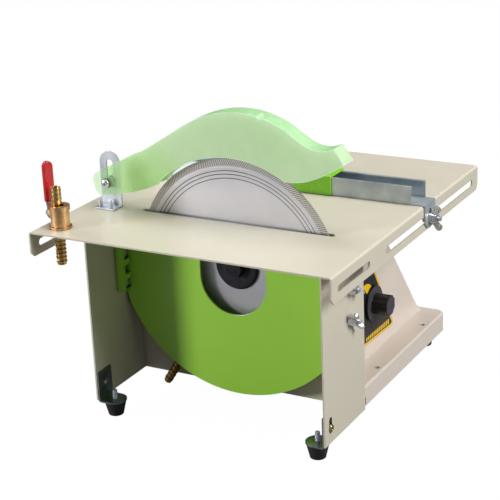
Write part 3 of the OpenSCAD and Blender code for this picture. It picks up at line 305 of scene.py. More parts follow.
def guard_shell():
    """Milky pale green plastic: it scatters light and is clear round the pivot. Painted light gives it a
    green glow low on the left, paler top faces and pale, glowing edges.
    """
    painted_glow_centre = point(-92, -91, 262)
    clear_from = -116 * MM
    clear_to = -140 * MM
    edge_radius = 1.8 * MM
    s = Surface("guard_shell")
    tree = s.tree
    x_place = s.axes()[0]
    geometry = tree.nodes.new("ShaderNodeNewGeometry")
    z_normal = s.axes(geometry.outputs["Normal"])[2]
    # Painted light: a saturated green glow painted low on the left of the guard.
    glow = s.step_between(s.distance(painted_glow_centre, (1, 0, 1.3)), 75 * MM, 12 * MM)
    cloud = s.spread(s.noise(16, 3), 0, 0.35)
    body = s.mixed(cloud, srgb(240, 254, 230), srgb(226, 248, 214))
    tone = s.mixed(s.maths("MULTIPLY", glow, 0.75), body, srgb(214, 250, 178))
    # The rounded-edge mask below carries a painted highlight and a painted glow along the edges.
    rounded = tree.nodes.new("ShaderNodeBevel")
    rounded.samples = 6
    rounded.inputs["Radius"].default_value = edge_radius
    facing = tree.nodes.new("ShaderNodeVectorMath")
    facing.operation = "DOT_PRODUCT"
    s.put(facing.inputs[0], rounded.outputs["Normal"])
    s.put(facing.inputs[1], geometry.outputs["Normal"])
    corner = s.maths("MULTIPLY", s.maths("SUBTRACT", 1.0, facing.outputs["Value"]), 5.0, clamp=True)
    # Top faces are painted a paler mint: painted light falling from above.
    lit_top_face = s.step_between(z_normal, 0.5, 0.9)
    tone = s.mixed(s.maths("MULTIPLY", lit_top_face, 0.6), tone, srgb(202, 255, 200))
    # Edges painted near white: a painted highlight.
    tone = s.mixed(s.maths("MULTIPLY", corner, 0.95), tone, srgb(246, 255, 242))
    s.feed("Base Color", tone)
    # Edges glow a little: painted light, since the guard is no lamp.
    s.feed("Emission Color", srgb(226, 250, 214))
    s.feed("Emission Strength", s.maths("MULTIPLY", corner, 0.6))
    s.feed("Roughness", s.spread(s.noise(60, 2), 0.2, 0.32))
    s.feed("Coat Weight", 0.5)
    s.feed("Coat Roughness", 0.08)
    s.bump(s.noise(70, 2), 0.0002, 0.4)
    scatter = tree.nodes.new("ShaderNodeBsdfTranslucent")
    s.put(scatter.inputs["Color"], tone)
    half = tree.nodes.new("ShaderNodeMixShader")
    half.inputs[0].default_value = 0.5
    tree.links.new(s.shader.outputs[0], half.inputs[1])
    tree.links.new(scatter.outputs[0], half.inputs[2])
    clear = tree.nodes.new("ShaderNodeBsdfTransparent")
    clear.inputs["Color"].default_value = srgb(240, 254, 236)
    seen_through = tree.nodes.new("ShaderNodeMixShader")
    end = s.step_between(x_place, clear_from, clear_to)
    s.put(seen_through.inputs[0], s.maths("ADD", s.maths("MULTIPLY", end, 0.72), 0.1))
    tree.links.new(half.outputs[0], seen_through.inputs[1])
    tree.links.new(clear.outputs[0], seen_through.inputs[2])
    tree.links.new(seen_through.outputs[0], tree.nodes["Material Output"].inputs["Surface"])
    return s.material


def knob_skin():
    """Black knob: charcoal on the faces across its axis, painted paler as painted light falling on them, and
    near black round its sides.
    """
    s = Surface("knob_skin")
    geometry = s.tree.nodes.new("ShaderNodeNewGeometry")
    x_normal = s.axes(geometry.outputs["Normal"])[0]
    # Faces that point along +X are painted a paler charcoal: painted light falling on them.
    flat = s.step_between(x_normal, 0.6, 0.95)
    cloud = s.spread(s.noise(160, 3), 0, 0.5)
    sides = s.mixed(cloud, srgb(17, 17, 19), srgb(34, 33, 36))
    ends = s.mixed(cloud, srgb(70, 66, 74), srgb(54, 51, 58))
    s.feed("Base Color", s.mixed(flat, sides, ends))
    s.feed("Roughness", s.spread(s.noise(200, 2), 0.34, 0.5))
    s.bump(s.noise(1800, 2), 0.00005)
    return s.material


def circuit_board():
    """Green lacquered board with copper-toned traces."""
    s = Surface("circuit_board", rough=0.35)
    traces = s.step_between(s.noise(260, 0, s.stretched((0.2, 1, 4))), 0.58, 0.6)
    s.feed("Base Color", s.mixed(traces, srgb(18, 84, 46), srgb(60, 140, 80)))
    s.feed("Coat Weight", 0.5)
    s.bump(traces, 0.00004)
    return s.material


MATERIALS = {
    "powder_coat": painted("powder_coat", srgb(207, 200, 182), 0.4, coat=0.1),
    "moulded_body": painted("moulded_body", srgb(222, 210, 198), 0.44, 1100, 0.00006, 0.1),
    "case_green": painted("case_green", srgb(156, 213, 66), 0.36, 700, 0.00003, 0.3),
    "block_green": painted("block_green", srgb(136, 214, 34), 0.28, 700, 0.00003, 0.4),
    "zinc_plate": plated(
        "zinc_plate", srgb(216, 220, 228), srgb(170, 176, 188), 0.36, 45, (1, 8, 8), metal=0.5
    ),
    "yellow_zinc": plated("yellow_zinc", srgb(214, 200, 156), srgb(166, 140, 92), 0.26, 160),
    "dark_steel": plated("dark_steel", srgb(46, 46, 54), srgb(24, 24, 30), 0.44, 120, (6, 1, 6), metal=0.6),
    "steel": plated("steel", srgb(214, 216, 220), srgb(176, 178, 184), 0.3, 80, (8, 1, 8)),
    "disc_steel": ground_disc(),
    # The brass's last argument sets the strength of its painted shade in hollows.
    "brass": plated("brass", srgb(236, 200, 134), srgb(188, 146, 86), 0.2, 110, (6, 6, 1), hollow_shade_amount=1.0),
    "rubber_black": moulded("rubber_black", srgb(20, 20, 22), srgb(46, 46, 50), 0.6),
    "guard_plastic": guard_shell(),
    "knob_plastic": knob_skin(),
    "label_film": moulded("label_film", srgb(18, 18, 22), srgb(34, 34, 38), 0.4),
    "grip_red": moulded("grip_red", srgb(176, 0, 8), srgb(200, 6, 16), 0.34, 500, 0.00003, 0.2),
    "board_green": circuit_board(),
    "rocker_red": moulded("rocker_red", srgb(176, 14, 16), srgb(214, 52, 48), 0.22, 900, 0.00002, 0.5),
    "cast_aluminium": plated(
        "cast_aluminium", srgb(188, 190, 194), srgb(150, 152, 156), 0.5, 260, scratch=0.00004
    ),
    "copper_wire": plated("copper_wire", srgb(206, 124, 74), srgb(150, 80, 44), 0.32, 200, (1, 9, 9), 0.0001),
    "ferrite": moulded("ferrite", srgb(58, 58, 62), srgb(84, 84, 88), 0.6, 900, 0.0001),
    "graphite": moulded("graphite", srgb(34, 34, 36), srgb(60, 60, 64), 0.5, 700, 0.00006),
}
CHROME = plated("bright_nickel", srgb(236, 238, 242), srgb(200, 204, 212), 0.2, 200, metal=0.8)
GALVANISED = plated(
    "galvanised_strip", srgb(214, 221, 226), srgb(160, 172, 182), 0.34, 26, (1, 30, 30), 0.00002, metal=0.6
)
# The cast brass's last argument sets the strength of its painted shade in hollows.
CAST_BRASS = plated(
    "cast_brass", srgb(238, 198, 148), srgb(196, 152, 104), 0.36, 90, scratch=0.0002, hollow_shade_amount=0.9
)
# A darker, more mirror-like copy of the zinc for the foot brackets: painted shade, as they stand in shadow
# low under the machine.
SHADED_FOOT_ZINC = plated("shaded_foot_zinc", srgb(176, 184, 190), srgb(120, 128, 134), 0.3, 60, (1, 1, 6))
YELLOW_INK = moulded("yellow_ink", srgb(250, 214, 20), srgb(236, 190, 10), 0.4)


# ---------------------------------------------------------------- mesh helpers

SHARP_ANGLE = math.radians(30)
CROSS_TURN = 0.5  # radians that the screws' cross recesses are turned


def show(name, mesh, node, material, replaced=True):
    """Makes a mesh a piece with the given material that rides with a CAD node's body, and hides the node if
    it is replaced.
    """
    piece = bpy.data.objects.new(name, mesh)
    bpy.context.scene.collection.objects.link(piece)
    mesh.materials.clear()
    mesh.materials.append(material)
    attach(piece, BODY_OF[node])
    if replaced:
        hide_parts(node)
    return piece


def smooth_by_angle(bm, degrees=35):
    """Smooth shading, except across edges sharper than an angle."""
    for face in bm.faces:
        face.smooth = True
    for edge in bm.edges:
        edge.smooth = edge.is_manifold and edge.calc_face_angle(0) < math.radians(degrees)


def round_edges(bm, width, segments, test=None):
    """Rounds the sharp edges that pass the test, or all of them. width is in metres."""
    sharp = [
        edge for edge in bm.edges
        if len(edge.link_faces) == 2 and edge.calc_face_angle(0) > SHARP_ANGLE
        and (test is None or test(edge))
    ]
    bmesh.ops.bevel(bm, geom=sharp, offset=width, offset_type="OFFSET", segments=segments,
                    profile=0.5, affect="EDGES", clamp_overlap=True)


def finish(node, width, segments=2, material=None, wide=None):
    """A copy of a CAD node with its edges rounded by a width in mm.

    wide is an edge test and a larger width, for the edges that pass it.
    """
    source = frame["nodes"][node].data
    bm = bmesh.new()
    for vertex in source.vertices:
        bm.verts.new(vertex.co)
    bm.verts.ensure_lookup_table()
    for polygon in source.polygons:
        corners = [bm.verts[i] for i in polygon.vertices]
        if len(set(corners)) == len(corners):
            bm.faces.new(corners)
    bmesh.ops.remove_doubles(bm, verts=bm.verts, dist=1e-6)
    bmesh.ops.dissolve_limit(bm, angle_limit=math.radians(1), verts=bm.verts, edges=bm.edges)
    if wide:
        test, wide_width = wide
        round_edges(bm, wide_width * MM, 4, test)
    round_edges(bm, width * MM, segments)
    smooth_by_angle(bm)
    mesh = bpy.data.meshes.new(node + "_made")
    bm.to_mesh(mesh)
    bm.free()
    piece = show(node + "_made", mesh, node, material or MATERIALS[SLOT_OF[node]])
    normals = piece.modifiers.new("even_normals", "WEIGHTED_NORMAL")
    normals.keep_sharp = True
    return piece


class Shape:
    """Closed surfaces gathered into one mesh."""

    def __init__(self):
        self.verts = []
        self.faces = []

    def lathe(self, origin, axis, profile, steps=32):
        """Revolves (radius, height) pairs, in metres, about an axis. A radius of 0 closes the surface."""
        side = axis.orthogonal().normalized()
        across = axis.cross(side)
        rows = []
        for radius, height in profile:
            base = origin + axis * height
            if radius == 0:
                self.verts.append(base)
                rows.append([len(self.verts) - 1] * steps)
                continue
            rows.append([])
            for i in range(steps):
                angle = 2 * math.pi * i / steps
                self.verts.append(base + (side * math.cos(angle) + across * math.sin(angle)) * radius)
                rows[-1].append(len(self.verts) - 1)
        for low, high in zip(rows, rows[1:]):
            for i in range(steps):
                k = (i + 1) % steps
                face = []
                for corner in (low[i], low[k], high[k], high[i]):
                    if corner not in face:
                        face.append(corner)
                if len(face) > 2:
                    self.faces.append(face)
        return self

    def rod(self, origin, axis, radius, length, chamfer=0.3 * MM):
        """A solid round rod with both ends chamfered."""
        return self.lathe(origin, axis, [
            (0, 0), (radius - chamfer, 0), (radius, chamfer), (radius, length - chamfer),
            (radius - chamfer, length), (0, length)
        ])

    def thread(self, origin, axis, radius, length, pitch):
        """A rod with thread ridges and a chamfered end."""
        depth = 0.3 * pitch
        profile = [(0, 0), (radius - depth, 0)]
        for i in range(int((length - pitch) / pitch)):
            base = i * pitch
            profile.append((radius - depth, base + 0.15 * pitch))
            profile.append((radius, base + 0.45 * pitch))
            profile.append((radius, base + 0.6 * pitch))
            profile.append((radius - depth, base + 0.95 * pitch))
        profile += [(radius - depth, length - 0.2 * pitch), (radius - 2 * depth, length), (0, length)]
        return self.lathe(origin, axis, profile, 24)

    def hexagon(self, origin, axis, flats, height, bore=0):
        """A nut or bolt head with chamfered corners on both faces. bore is a radius, or 0 for none."""
        radius = flats / math.sqrt(3)
        chamfer = 0.08 * flats
        profile = [
            (bore, 0), (radius - chamfer, 0), (radius, 0.5 * chamfer), (radius, height - 0.5 * chamfer),
            (radius - chamfer, height), (bore, height)
        ]
        if bore:
            profile.append((bore, 0))
        return self.lathe(origin, axis, profile, 6)

    def prism(self, origin, across, upward, outline, depth):
        """Pushes a flat outline, given in two directions, along their cross product."""
        along = across.cross(upward)
        start = len(self.verts)
        count = len(outline)
        for level in (0, depth):
            for a, b in outline:
                self.verts.append(origin + across * a + upward * b + along * level)
        self.faces.append([start + i for i in reversed(range(count))])
        self.faces.append([start + count + i for i in range(count)])
        for i in range(count):
            k = (i + 1) % count
            self.faces.append([start + i, start + k, start + count + k, start + count + i])
        return self

    def mesh(self, name, degrees=35, rounding=0):
        """The gathered surfaces as a mesh, smooth below an angle, with its sharp edges rounded if asked."""
        bm = bmesh.new()
        verts = [bm.verts.new(v) for v in self.verts]
        for face in self.faces:
            bm.faces.new([verts[i] for i in face])
        bmesh.ops.recalc_face_normals(bm, faces=bm.faces)
        if rounding:
            round_edges(bm, rounding, 2)
        smooth_by_angle(bm, degrees)
        mesh = bpy.data.meshes.new(name)
        bm.to_mesh(mesh)
        bm.free()
        return mesh


def carve(mesh, cutter_mesh):
    """Cuts one mesh out of another and returns the result."""
    body = bpy.data.objects.new("carved", mesh)
    cutter = bpy.data.objects.new("cutter", cutter_mesh)
    for obj in (body, cutter):
        bpy.context.scene.collection.objects.link(obj)
    cut = body.modifiers.new("cut", "BOOLEAN")
    cut.object = cutter
    cut.operation = "DIFFERENCE"
    cut.solver = "EXACT"
    cut.use_self = True
    bpy.context.view_layer.update()
    result = bpy.data.meshes.new_from_object(body.evaluated_get(bpy.context.evaluated_depsgraph_get()))
    bpy.data.objects.remove(body)
    bpy.data.objects.remove(cutter)
    return result


def pan_head(shape, origin, axis, radius, height):
    """A domed head rising from origin along axis."""
    steps = 8
    profile = [(0, 0), (radius * 0.97, 0)]
    for i in range(steps + 1):
        angle = math.pi / 2 * i / steps
        profile.append((radius * (0.35 + 0.65 * math.cos(angle)), height * (0.25 + 0.75 * math.sin(angle))))
    profile.append((0, height))
    return shape.lathe(origin, axis, profile, 40)


def cross_cutter(place, axis, radius, height):
    """Cutter for the cross recess in the top of a pan head that stands at a place."""
    side = axis.orthogonal().normalized()
    cutter = Shape()
    top = place + axis * height
    long_half = 0.58 * radius
    short_half = 0.13 * radius
    deep = 0.55 * height
    clear = 0.3 * height
    outline = [(-long_half, clear), (-0.4 * long_half, -deep), (0.4 * long_half, -deep), (long_half, clear)]
    for turn in (0, math.pi / 2):
        along = Matrix.Rotation(turn + CROSS_TURN, 3, axis) @ side
        across = axis.cross(along)
        cutter.prism(top + across * short_half, along, axis, outline, 2 * short_half)
    return cutter.mesh("cross_cutter")


# ---------------------------------------------------------------- pieces

def saw_disc():
    """Disc with three fine grooves and a thicker rim whose sides carry slanted teeth."""
    steps = 2 * TEETH
    core = 0.8 * MM
    rim = 1.0 * MM
    plate_ring = 40 * MM
    groove_depth = 0.25 * MM
    half_groove = 0.4 * MM
    rim_start = DISC_R - 10.7 * MM
    rim_end = DISC_R - 0.1 * MM
    rim_rows = 8
    tooth_height = 0.22 * MM
    tooth_notch = 0.25 * MM
    tooth_lead = 0.34

    rings = [(DISC_BORE_R, core, 0), (plate_ring, core, 0)]
    for inset in GROOVE_INSETS:
        radius = DISC_R - inset
        rings += [
            (radius - half_groove, core, 0), (radius - 0.6 * half_groove, core - groove_depth, 0),
            (radius + 0.6 * half_groove, core - groove_depth, 0), (radius + half_groove, core, 0)
        ]
    rings += [(rim_start - 0.3 * MM, core, 0), (rim_start, rim, 0)]
    for row in range(1, rim_rows + 1):
        rings.append((rim_start + (rim_end - rim_start) * row / rim_rows, rim - 0.1 * MM, row))

    shape = Shape()
    for face_side in (-1, 1):
        for radius, half, row in rings:
            for i in range(steps):
                wave = abs((i / 2 + tooth_lead * row) % 1 - 0.5) * 2
                lift = tooth_height * (wave - 0.5) if row else 0
                reach = radius + (tooth_notch * (wave - 1) if row == rim_rows else 0)
                angle = 2 * math.pi * i / steps
                place = (reach * math.cos(angle), face_side * (half + lift), reach * math.sin(angle))
                shape.verts.append(DISC + Vector(place))
    half_count = len(rings) * steps
    for side_start, flip in ((0, False), (half_count, True)):
        for ring in range(len(rings) - 1):
            for i in range(steps):
                k = (i + 1) % steps
                a = side_start + ring * steps
                face = [a + i, a + k, a + steps + k, a + steps + i]
                shape.faces.append(face[::-1] if flip else face)
    for ring, flip in ((0, True), (len(rings) - 1, False)):
        for i in range(steps):
            k = (i + 1) % steps
            a = ring * steps
            face = [a + i, a + k, half_count + a + k, half_count + a + i]
            shape.faces.append(face[::-1] if flip else face)
    show("saw_disc", shape.mesh("saw_disc", 20), "saw_blade", MATERIALS["disc_steel"])


def foot_hardware():
    """The brackets' side screws, the front feet's threaded studs and the rear feet's screws."""
    head_r = 4.6 * MM
    head_h = 2.6 * MM
    shank_length = 4.4 * MM
    screw_z = 38 * MM
    stud_inset = 16 * MM
    stud_z = 9 * MM
    rear_foot_r = 10 * MM
    bracket_y = middle("foot_brackets").y
    box_left, box_right = (corner.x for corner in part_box("splash_housing"))
    shape = Shape()
    heads = Shape()
    places = []
    for side, outer in ((-1, box_left), (1, box_right)):
        axis = X_AXIS * side
        place = Vector((outer, bracket_y, screw_z))
        shape.rod(place - axis * shank_length, axis, 2.5 * MM, shank_length)
        pan_head(heads, place, axis, head_r, head_h)
        places.append((place, axis))
        stud = Vector((outer - side * stud_inset, bracket_y, stud_z))
        shape.thread(stud, Z_AXIS, 3 * MM, 21.5 * MM, 1 * MM)
    mesh = heads.mesh("side_heads")
    for place, axis in places:
        mesh = carve(mesh, cross_cutter(place, axis, head_r, head_h))
    show("foot_bracket_screw_heads", mesh, "foot_screws", MATERIALS["yellow_zinc"])
    rear_low, rear_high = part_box("rear_feet")
    for x in (rear_low.x + rear_foot_r, rear_high.x - rear_foot_r):
        base = Vector((x, middle("rear_feet").y, 0))
        shape.rod(base + Z_AXIS * 2 * MM, Z_AXIS, 4 * MM, 2 * MM, 0.4 * MM)
        shape.thread(base + Z_AXIS * 4 * MM, Z_AXIS, 2 * MM, 14 * MM, 0.7 * MM)
        shape.hexagon(base + Z_AXIS * 11.1 * MM, Z_AXIS, 7 * MM, 3 * MM, 2 * MM)
    show("foot_studs", shape.mesh("foot_studs"), "foot_screws", MATERIALS["zinc_plate"])


def bracket_hardware():
    """Two screws from below whose threaded ends stand in front of the guard's bracket."""
    low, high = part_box("guard_bracket_screws")
    shape = Shape()
    head_r = 3.9 * MM
    head_h = 2.6 * MM
    for x in (low.x + head_r, high.x - head_r):
        seat = Vector((x, (low.y + high.y) / 2, low.z + head_h))
        pan_head(shape, seat, -Z_AXIS, head_r, head_h)
        shape.thread(seat, Z_AXIS, 2.1 * MM, high.z - seat.z, 0.7 * MM)
    show("bracket_screws", shape.mesh("bracket_screws"), "guard_bracket_screws", MATERIALS["zinc_plate"])


def hose_tail(name, node, foot, axis, radius, root, pitch, rings, plain):
    """A bored brass tail: a plain shank, then sharp rings that slope down to its open tip."""
    bore = WATER_BORE_R
    profile = [(bore, 0), (root, 0), (root, plain)]
    for i in range(rings):
        base = plain + i * pitch
        profile += [
            (radius, base + 0.15 * pitch), (radius, base + 0.4 * pitch), (root, base + 0.92 * pitch),
            (root, base + pitch)
        ]
    end = plain + rings * pitch
    tip = end + 0.5 * MM
    profile += [(root - 0.3 * MM, tip), (bore + 0.2 * MM, tip), (bore, end), (bore, 0)]
    shape = Shape().lathe(foot, axis, profile, 48)
    show(name, shape.mesh(name, 25), node, MATERIALS["brass"])


def valve_tails():
    """The ribbed tail and hexagon below the table and the smooth-ringed tube on top."""
    valve = middle("valve_body")
    under = Vector((valve.x, valve.y, TABLE_TOP - TABLE_THICK))
    nut_height = 7 * MM
    neck_r = 7 * MM
    neck_length = 7 * MM
    shape = Shape()
    shape.hexagon(under - Z_AXIS * nut_height, Z_AXIS, 21.6 * MM, nut_height, WATER_BORE_R)
    shape.lathe(under - Z_AXIS * MM, Z_AXIS, [
        (WATER_BORE_R, 0), (neck_r, 0), (neck_r, neck_length), (WATER_BORE_R, neck_length), (WATER_BORE_R, 0)
    ], 40)
    show("inlet_hexagon", shape.mesh("inlet_hexagon", 30, 0.3 * MM), "water_inlet_barb", CAST_BRASS)

    tip_height = 0.5 * MM
    inlet_pitch = 4.7 * MM
    inlet_rings = 6
    inlet_foot = under - Z_AXIS * nut_height
    inlet_length = inlet_foot.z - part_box("water_inlet_barb")[0].z - tip_height
    hose_tail("inlet_tail", "water_inlet_barb", inlet_foot, -Z_AXIS, 6.1 * MM, 4.95 * MM,
              inlet_pitch, inlet_rings, inlet_length - inlet_rings * inlet_pitch)

    outlet_pitch = 5 * MM
    outlet_rings = 3
    outlet_foot = Vector((valve.x, valve.y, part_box("valve_body")[1].z - 4 * MM))
    outlet_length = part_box("water_outlet_tube")[1].z - outlet_foot.z - tip_height
    hose_tail("outlet_tail", "water_outlet_tube", outlet_foot, Z_AXIS, 5.7 * MM, 5.35 * MM,
              outlet_pitch, outlet_rings, outlet_length - outlet_rings * outlet_pitch)


def guard_cross_screw():
    """The guard's cross screw: a cross-recessed head, shank, bush, spacers and an end nut."""
    wall = 2.5 * MM
    plate_half = 1 * MM
    gap = 0.1 * MM
    spacer_r = 6 * MM
    shank_r = 2.9 * MM
    bush_r = 4.1 * MM
    bush_length = 3 * MM
    nut_flats = 8.6 * MM
    head_r = 5.3 * MM
    head_h = 2.8 * MM

    guard_low, guard_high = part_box("blade_guard")
    front = guard_low.y + wall
    back = guard_high.y - wall
    plate_front = DISC.y - plate_half
    plate_back = DISC.y + plate_half
    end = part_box("guard_screw")[1].y
    shape = Shape()

    def on_axis(y):
        return Vector((PIVOT_X, y, PIVOT_Z))

    shape.rod(on_axis(guard_low.y - 2 * gap), Y_AXIS, shank_r, end - guard_low.y)
    shape.rod(on_axis(front + gap), Y_AXIS, spacer_r, plate_front - front - 2 * gap, 0.4 * MM)
    shape.rod(on_axis(plate_front - 0.5 * MM), Y_AXIS, bush_r, bush_length, 0.2 * MM)
    shape.rod(on_axis(plate_back + gap), Y_AXIS, spacer_r, back - plate_back - 2 * gap, 0.4 * MM)
    shape.hexagon(on_axis(guard_high.y + gap), Y_AXIS, nut_flats, 4 * MM)
    show("guard_cross_screw", shape.mesh("guard_cross_screw"), "guard_screw", MATERIALS["zinc_plate"])
    place = on_axis(guard_low.y - gap)
    head = pan_head(Shape(), place, -Y_AXIS, head_r, head_h).mesh("guard_head")
    head = carve(head, cross_cutter(place, -Y_AXIS, head_r, head_h))
    show("guard_screw_head", head, "guard_screw", CHROME)


def bolts(node, heights, shank, add_head):
    """Threaded bolts that point outwards to both sides. add_head draws one head at a place along an axis."""
    half = (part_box(node)[1].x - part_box(node)[0].x) / 2
    centre = middle(node)
    shape = Shape()
    for z in heights:
        for side in (-1, 1):
            axis = X_AXIS * side
            head_start = Vector((centre.x, centre.y, z)) + axis * (half - shank - BOLT_HEAD_H)
            add_head(shape, head_start, axis)
            shape.thread(head_start + axis * BOLT_HEAD_H, axis, 2.95 * MM, shank, 1 * MM)
    show(node + "_threaded", shape.mesh(node), node, MATERIALS["zinc_plate"])


def hexagon_head(shape, place, axis):
    shape.hexagon(place, axis, 8.3 * MM, BOLT_HEAD_H)


def round_head(shape, place, axis):
    shape.rod(place, axis, 6.5 * MM, BOLT_HEAD_H, 0.5 * MM)


def flat_band(shape, outline, width, x, height):
    """A raised border inside a closed outline of Y and Z, on the plane at x. All in metres."""
    count = len(outline)
    points = [Vector(p) for p in outline]
    inner = []
    for i in range(count):
        before = (points[i] - points[i - 1]).normalized()
        after = (points[(i + 1) % count] - points[i]).normalized()
        normal = (Vector((-before.y, before.x)) + Vector((-after.y, after.x))).normalized()
        inner.append(points[i] + normal * width / max(0.4, normal.dot(Vector((-before.y, before.x)))))
    for i in range(count):
        k = (i + 1) % count
        quad = [points[i], points[k], inner[k], inner[i]]
        shape.prism(Vector((x, 0, 0)), Y_AXIS, Z_AXIS, [(p.x, p.y) for p in quad], height)


def dial_marks():
    """Yellow border, swept crescent and a row of rising bars on the dial's label."""
    raised = 0.08 * MM
    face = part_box("dial_label")[1].x
    origin = Vector((face, 0, 0))
    shape = Shape()

    def raise_outline(corners):
        shape.prism(origin, Y_AXIS, Z_AXIS, [tuple(corner) for corner in corners], raised)

    border = [(-27.7, 52.7), (100.9, 46.2), (106, 49.6), (48.3, 142.7), (-27.7, 142.7)]
    flat_band(shape, [(y * MM, z * MM) for y, z in border], 2.6 * MM, face, raised)

    skirt = KNOB_R + 0.3 * MM
    knob = Vector((KNOB.y, KNOB.z))
    arc_middle = Vector((26 * MM, 101 * MM))
    arc_radius = 25 * MM
    steps = 40
    offset = knob - arc_middle
    rays = []
    for i in range(steps + 1):
        angle = math.radians(80 + 52 * i / steps)
        along = Vector((math.cos(angle), math.sin(angle)))
        back = offset.dot(along)
        reach = -back + math.sqrt(max(0, back * back + arc_radius * arc_radius - offset.length_squared))
        if reach > skirt + 0.2 * MM:
            rays.append((knob + along * skirt, knob + along * reach))
    for first, second in zip(rays, rays[1:]):
        raise_outline((first[0], first[1], second[1], second[0]))

    bar_width = 3.4 * MM
    bar_pitch = 5.3 * MM
    for i in range(13):
        left = 27 * MM + bar_pitch * i
        foot = 54.2 * MM - 0.05 * bar_pitch * i
        top = foot + (4.2 + 0.2 * i) * MM
        raise_outline(((left, foot), (left + bar_width, foot), (left + bar_width, top), (left, top)))

    tick = [(82, 66.5), (83.2, 65.5), (87, 69), (85.8, 70)]
    raise_outline((y * MM, z * MM) for y, z in tick)
    show("dial_marks", shape.mesh("dial_marks"), "dial_label", YELLOW_INK, replaced=False)


def knob_pointer():
    """A faint line on the knob's end face."""
    start = 4 * MM
    end = 10 * MM
    half_width = 0.4 * MM
    turn = math.radians(215)
    along = Y_AXIS * math.cos(turn) + Z_AXIS * math.sin(turn)
    across = Z_AXIS * math.cos(turn) - Y_AXIS * math.sin(turn)
    outline = [(start, -half_width), (end, -half_width), (end, half_width), (start, half_width)]
    shape = Shape()
    shape.prism(Vector((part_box("speed_knob")[1].x, KNOB.y, KNOB.z)), along, across, outline, 0.05 * MM)
    faint = moulded("faint_ink", srgb(120, 118, 122), srgb(96, 94, 98), 0.45)
    show("knob_pointer", shape.mesh("knob_pointer"), "speed_knob", faint, replaced=False)


def is_tall(edge):
    """True for an edge that rises by more than 20 mm."""
    first, second = (v.co for v in edge.verts)
    return abs(first.z - second.z) > 20 * MM


def build_pieces():
    finish("table_top", 0.35)
    finish("splash_housing", 0.3)
    finish("machine_body", 0.5, wide=(is_tall, 1.6))
    # The foot brackets take the darker zinc copy: painted shade.
    finish("foot_brackets", 0.25, material=SHADED_FOOT_ZINC)
    finish("case_front", 0.8, 3)
    finish("case_back", 0.6)
    finish("front_feet", 0.6, 3)
    finish("rear_feet", 0.6, 3)
    finish("drain_barb", 0.1)
    finish("guard_bracket", 0.25)
    finish("blade_guard", 1.9, 3)
    finish("fence_channel", 0.3, material=GALVANISED)
    finish("fence_block", 0.5)
    finish("outer_flange", 0.3)
    finish("arbor_nut", 0.5)
    finish("speed_knob", 0.7, 3)
    finish("power_switch", 0.4)
    finish("switch_rocker", 0.4)
    finish("power_inlet", 0.4)
    finish("valve_body", 0.5, 3, CAST_BRASS)
    finish("valve_lever", 0.3)
    finish("lever_grip", 2.0, 4)
    finish("dial_label", 0.05)
    for name in BODY_OF:
        if "wing_nut" in name:
            finish(name, 0.8, 3, CHROME)
    saw_disc()
    foot_hardware()
    bracket_hardware()
    guard_cross_screw()
    valve_tails()
    bolts("case_bolts", CASE_BOLT_HEIGHTS, 18 * MM, hexagon_head)
    bolts("fence_bolts", (middle("fence_bolts").z,), 18 * MM, round_head)
    dial_marks()
    knob_pointer()


def paint_frame():
    """Every CAD node that still shows gets its slot's material."""
    for name, node in frame["nodes"].items():
        node.data.materials.clear()
        node.data.materials.append(MATERIALS[SLOT_OF[name]])


# ---------------------------------------------------------------- studio

def add_camera():
    """A pinhole camera placed by its yaw about Z, its pitch below the horizon and its roll."""
    yaw, pitch, roll = CAMERA_YAW, CAMERA_PITCH, CAMERA_ROLL
    forward = Vector((-math.sin(yaw) * math.cos(pitch), math.cos(yaw) * math.cos(pitch), -math.sin(pitch)))
    level_right = Vector((math.cos(yaw), math.sin(yaw), 0))
    level_up = level_right.cross(forward)
    right = level_right * math.cos(roll) + level_up * math.sin(roll)
    up = level_up * math.cos(roll) - level_right * math.sin(roll)
    camera = bpy.data.objects.new("camera", bpy.data.cameras.new("camera"))
    bpy.context.scene.collection.objects.link(camera)
    rotation = Matrix((right, up, -forward)).transposed().to_4x4()
    camera.matrix_world = Matrix.Translation(CAMERA_PLACE) @ rotation
    camera.data.lens = LENS
    camera.data.sensor_width = SENSOR
    bpy.context.scene.camera = camera


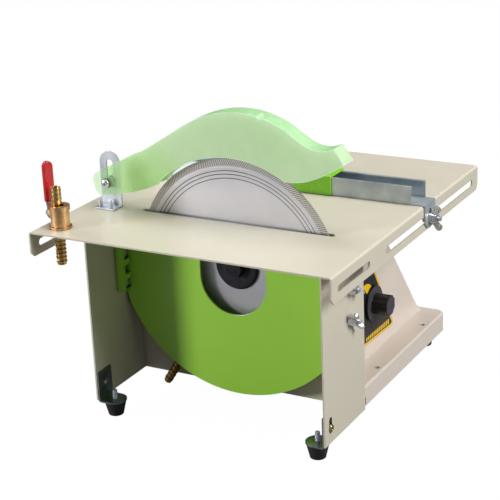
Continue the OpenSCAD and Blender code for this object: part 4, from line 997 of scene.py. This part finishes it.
def add_light(name, place, target, size, power):
    """A white disc lamp that faces its target."""
    lamp = bpy.data.lights.new(name, "AREA")
    lamp.shape = "DISK"
    lamp.size = size
    lamp.energy = power
    obj = bpy.data.objects.new(name, lamp)
    bpy.context.scene.collection.objects.link(obj)
    obj.location = place
    obj.rotation_euler = (Vector(target) - Vector(place)).to_track_quat("-Z", "Y").to_euler()


def add_world():
    """White to the camera, dim as a light source."""
    world = bpy.data.worlds.new("studio")
    bpy.context.scene.world = world
    world.use_nodes = True
    nodes, links = world.node_tree.nodes, world.node_tree.links
    background = nodes["Background"]
    background.inputs["Color"].default_value = (1, 1, 1, 1)
    path = nodes.new("ShaderNodeLightPath")
    level = nodes.new("ShaderNodeMapRange")
    links.new(path.outputs["Is Camera Ray"], level.inputs["Value"])
    level.inputs["To Min"].default_value = AMBIENT
    level.inputs["To Max"].default_value = 1.0
    links.new(level.outputs["Result"], background.inputs["Strength"])


def add_floor():
    """A floor that looks white to the camera and keeps a soft contact shadow."""
    seen_glow = 0.82
    bpy.ops.mesh.primitive_plane_add(size=14)
    floor = bpy.context.object
    floor.name = "floor"
    s = Surface("floor", rough=0.7)
    s.feed("Base Color", s.mixed(s.noise(2, 2), (0.14, 0.14, 0.14, 1), (0.16, 0.16, 0.16, 1)))
    glow = s.tree.nodes.new("ShaderNodeEmission")
    glow.inputs["Strength"].default_value = 1.2
    path = s.tree.nodes.new("ShaderNodeLightPath")
    blend = s.tree.nodes.new("ShaderNodeMixShader")
    s.put(blend.inputs[0], s.maths("MULTIPLY", path.outputs["Is Camera Ray"], seen_glow))
    s.tree.links.new(s.shader.outputs[0], blend.inputs[1])
    s.tree.links.new(glow.outputs[0], blend.inputs[2])
    s.tree.links.new(blend.outputs[0], s.tree.nodes["Material Output"].inputs["Surface"])
    floor.data.materials.append(s.material)


build_pieces()
paint_frame()
add_camera()
add_world()
add_light("key", (-1.8, -1.75, 0.6), (0, 0, 0.15), 0.5, 44)
add_light("overhead", (0.0, 0.2, 2.3), (0, 0, 0.15), 1.6, 25.5)
add_light("right_side", (1.9, -0.1, 1.4), (0.1, 0, 0.15), 1.1, 47)
add_light("back_left", (-2.1, 0.5, 0.8), (0, 0, 0.15), 0.9, 12)
add_floor()
bpy.context.scene.view_settings.view_transform = "Standard"
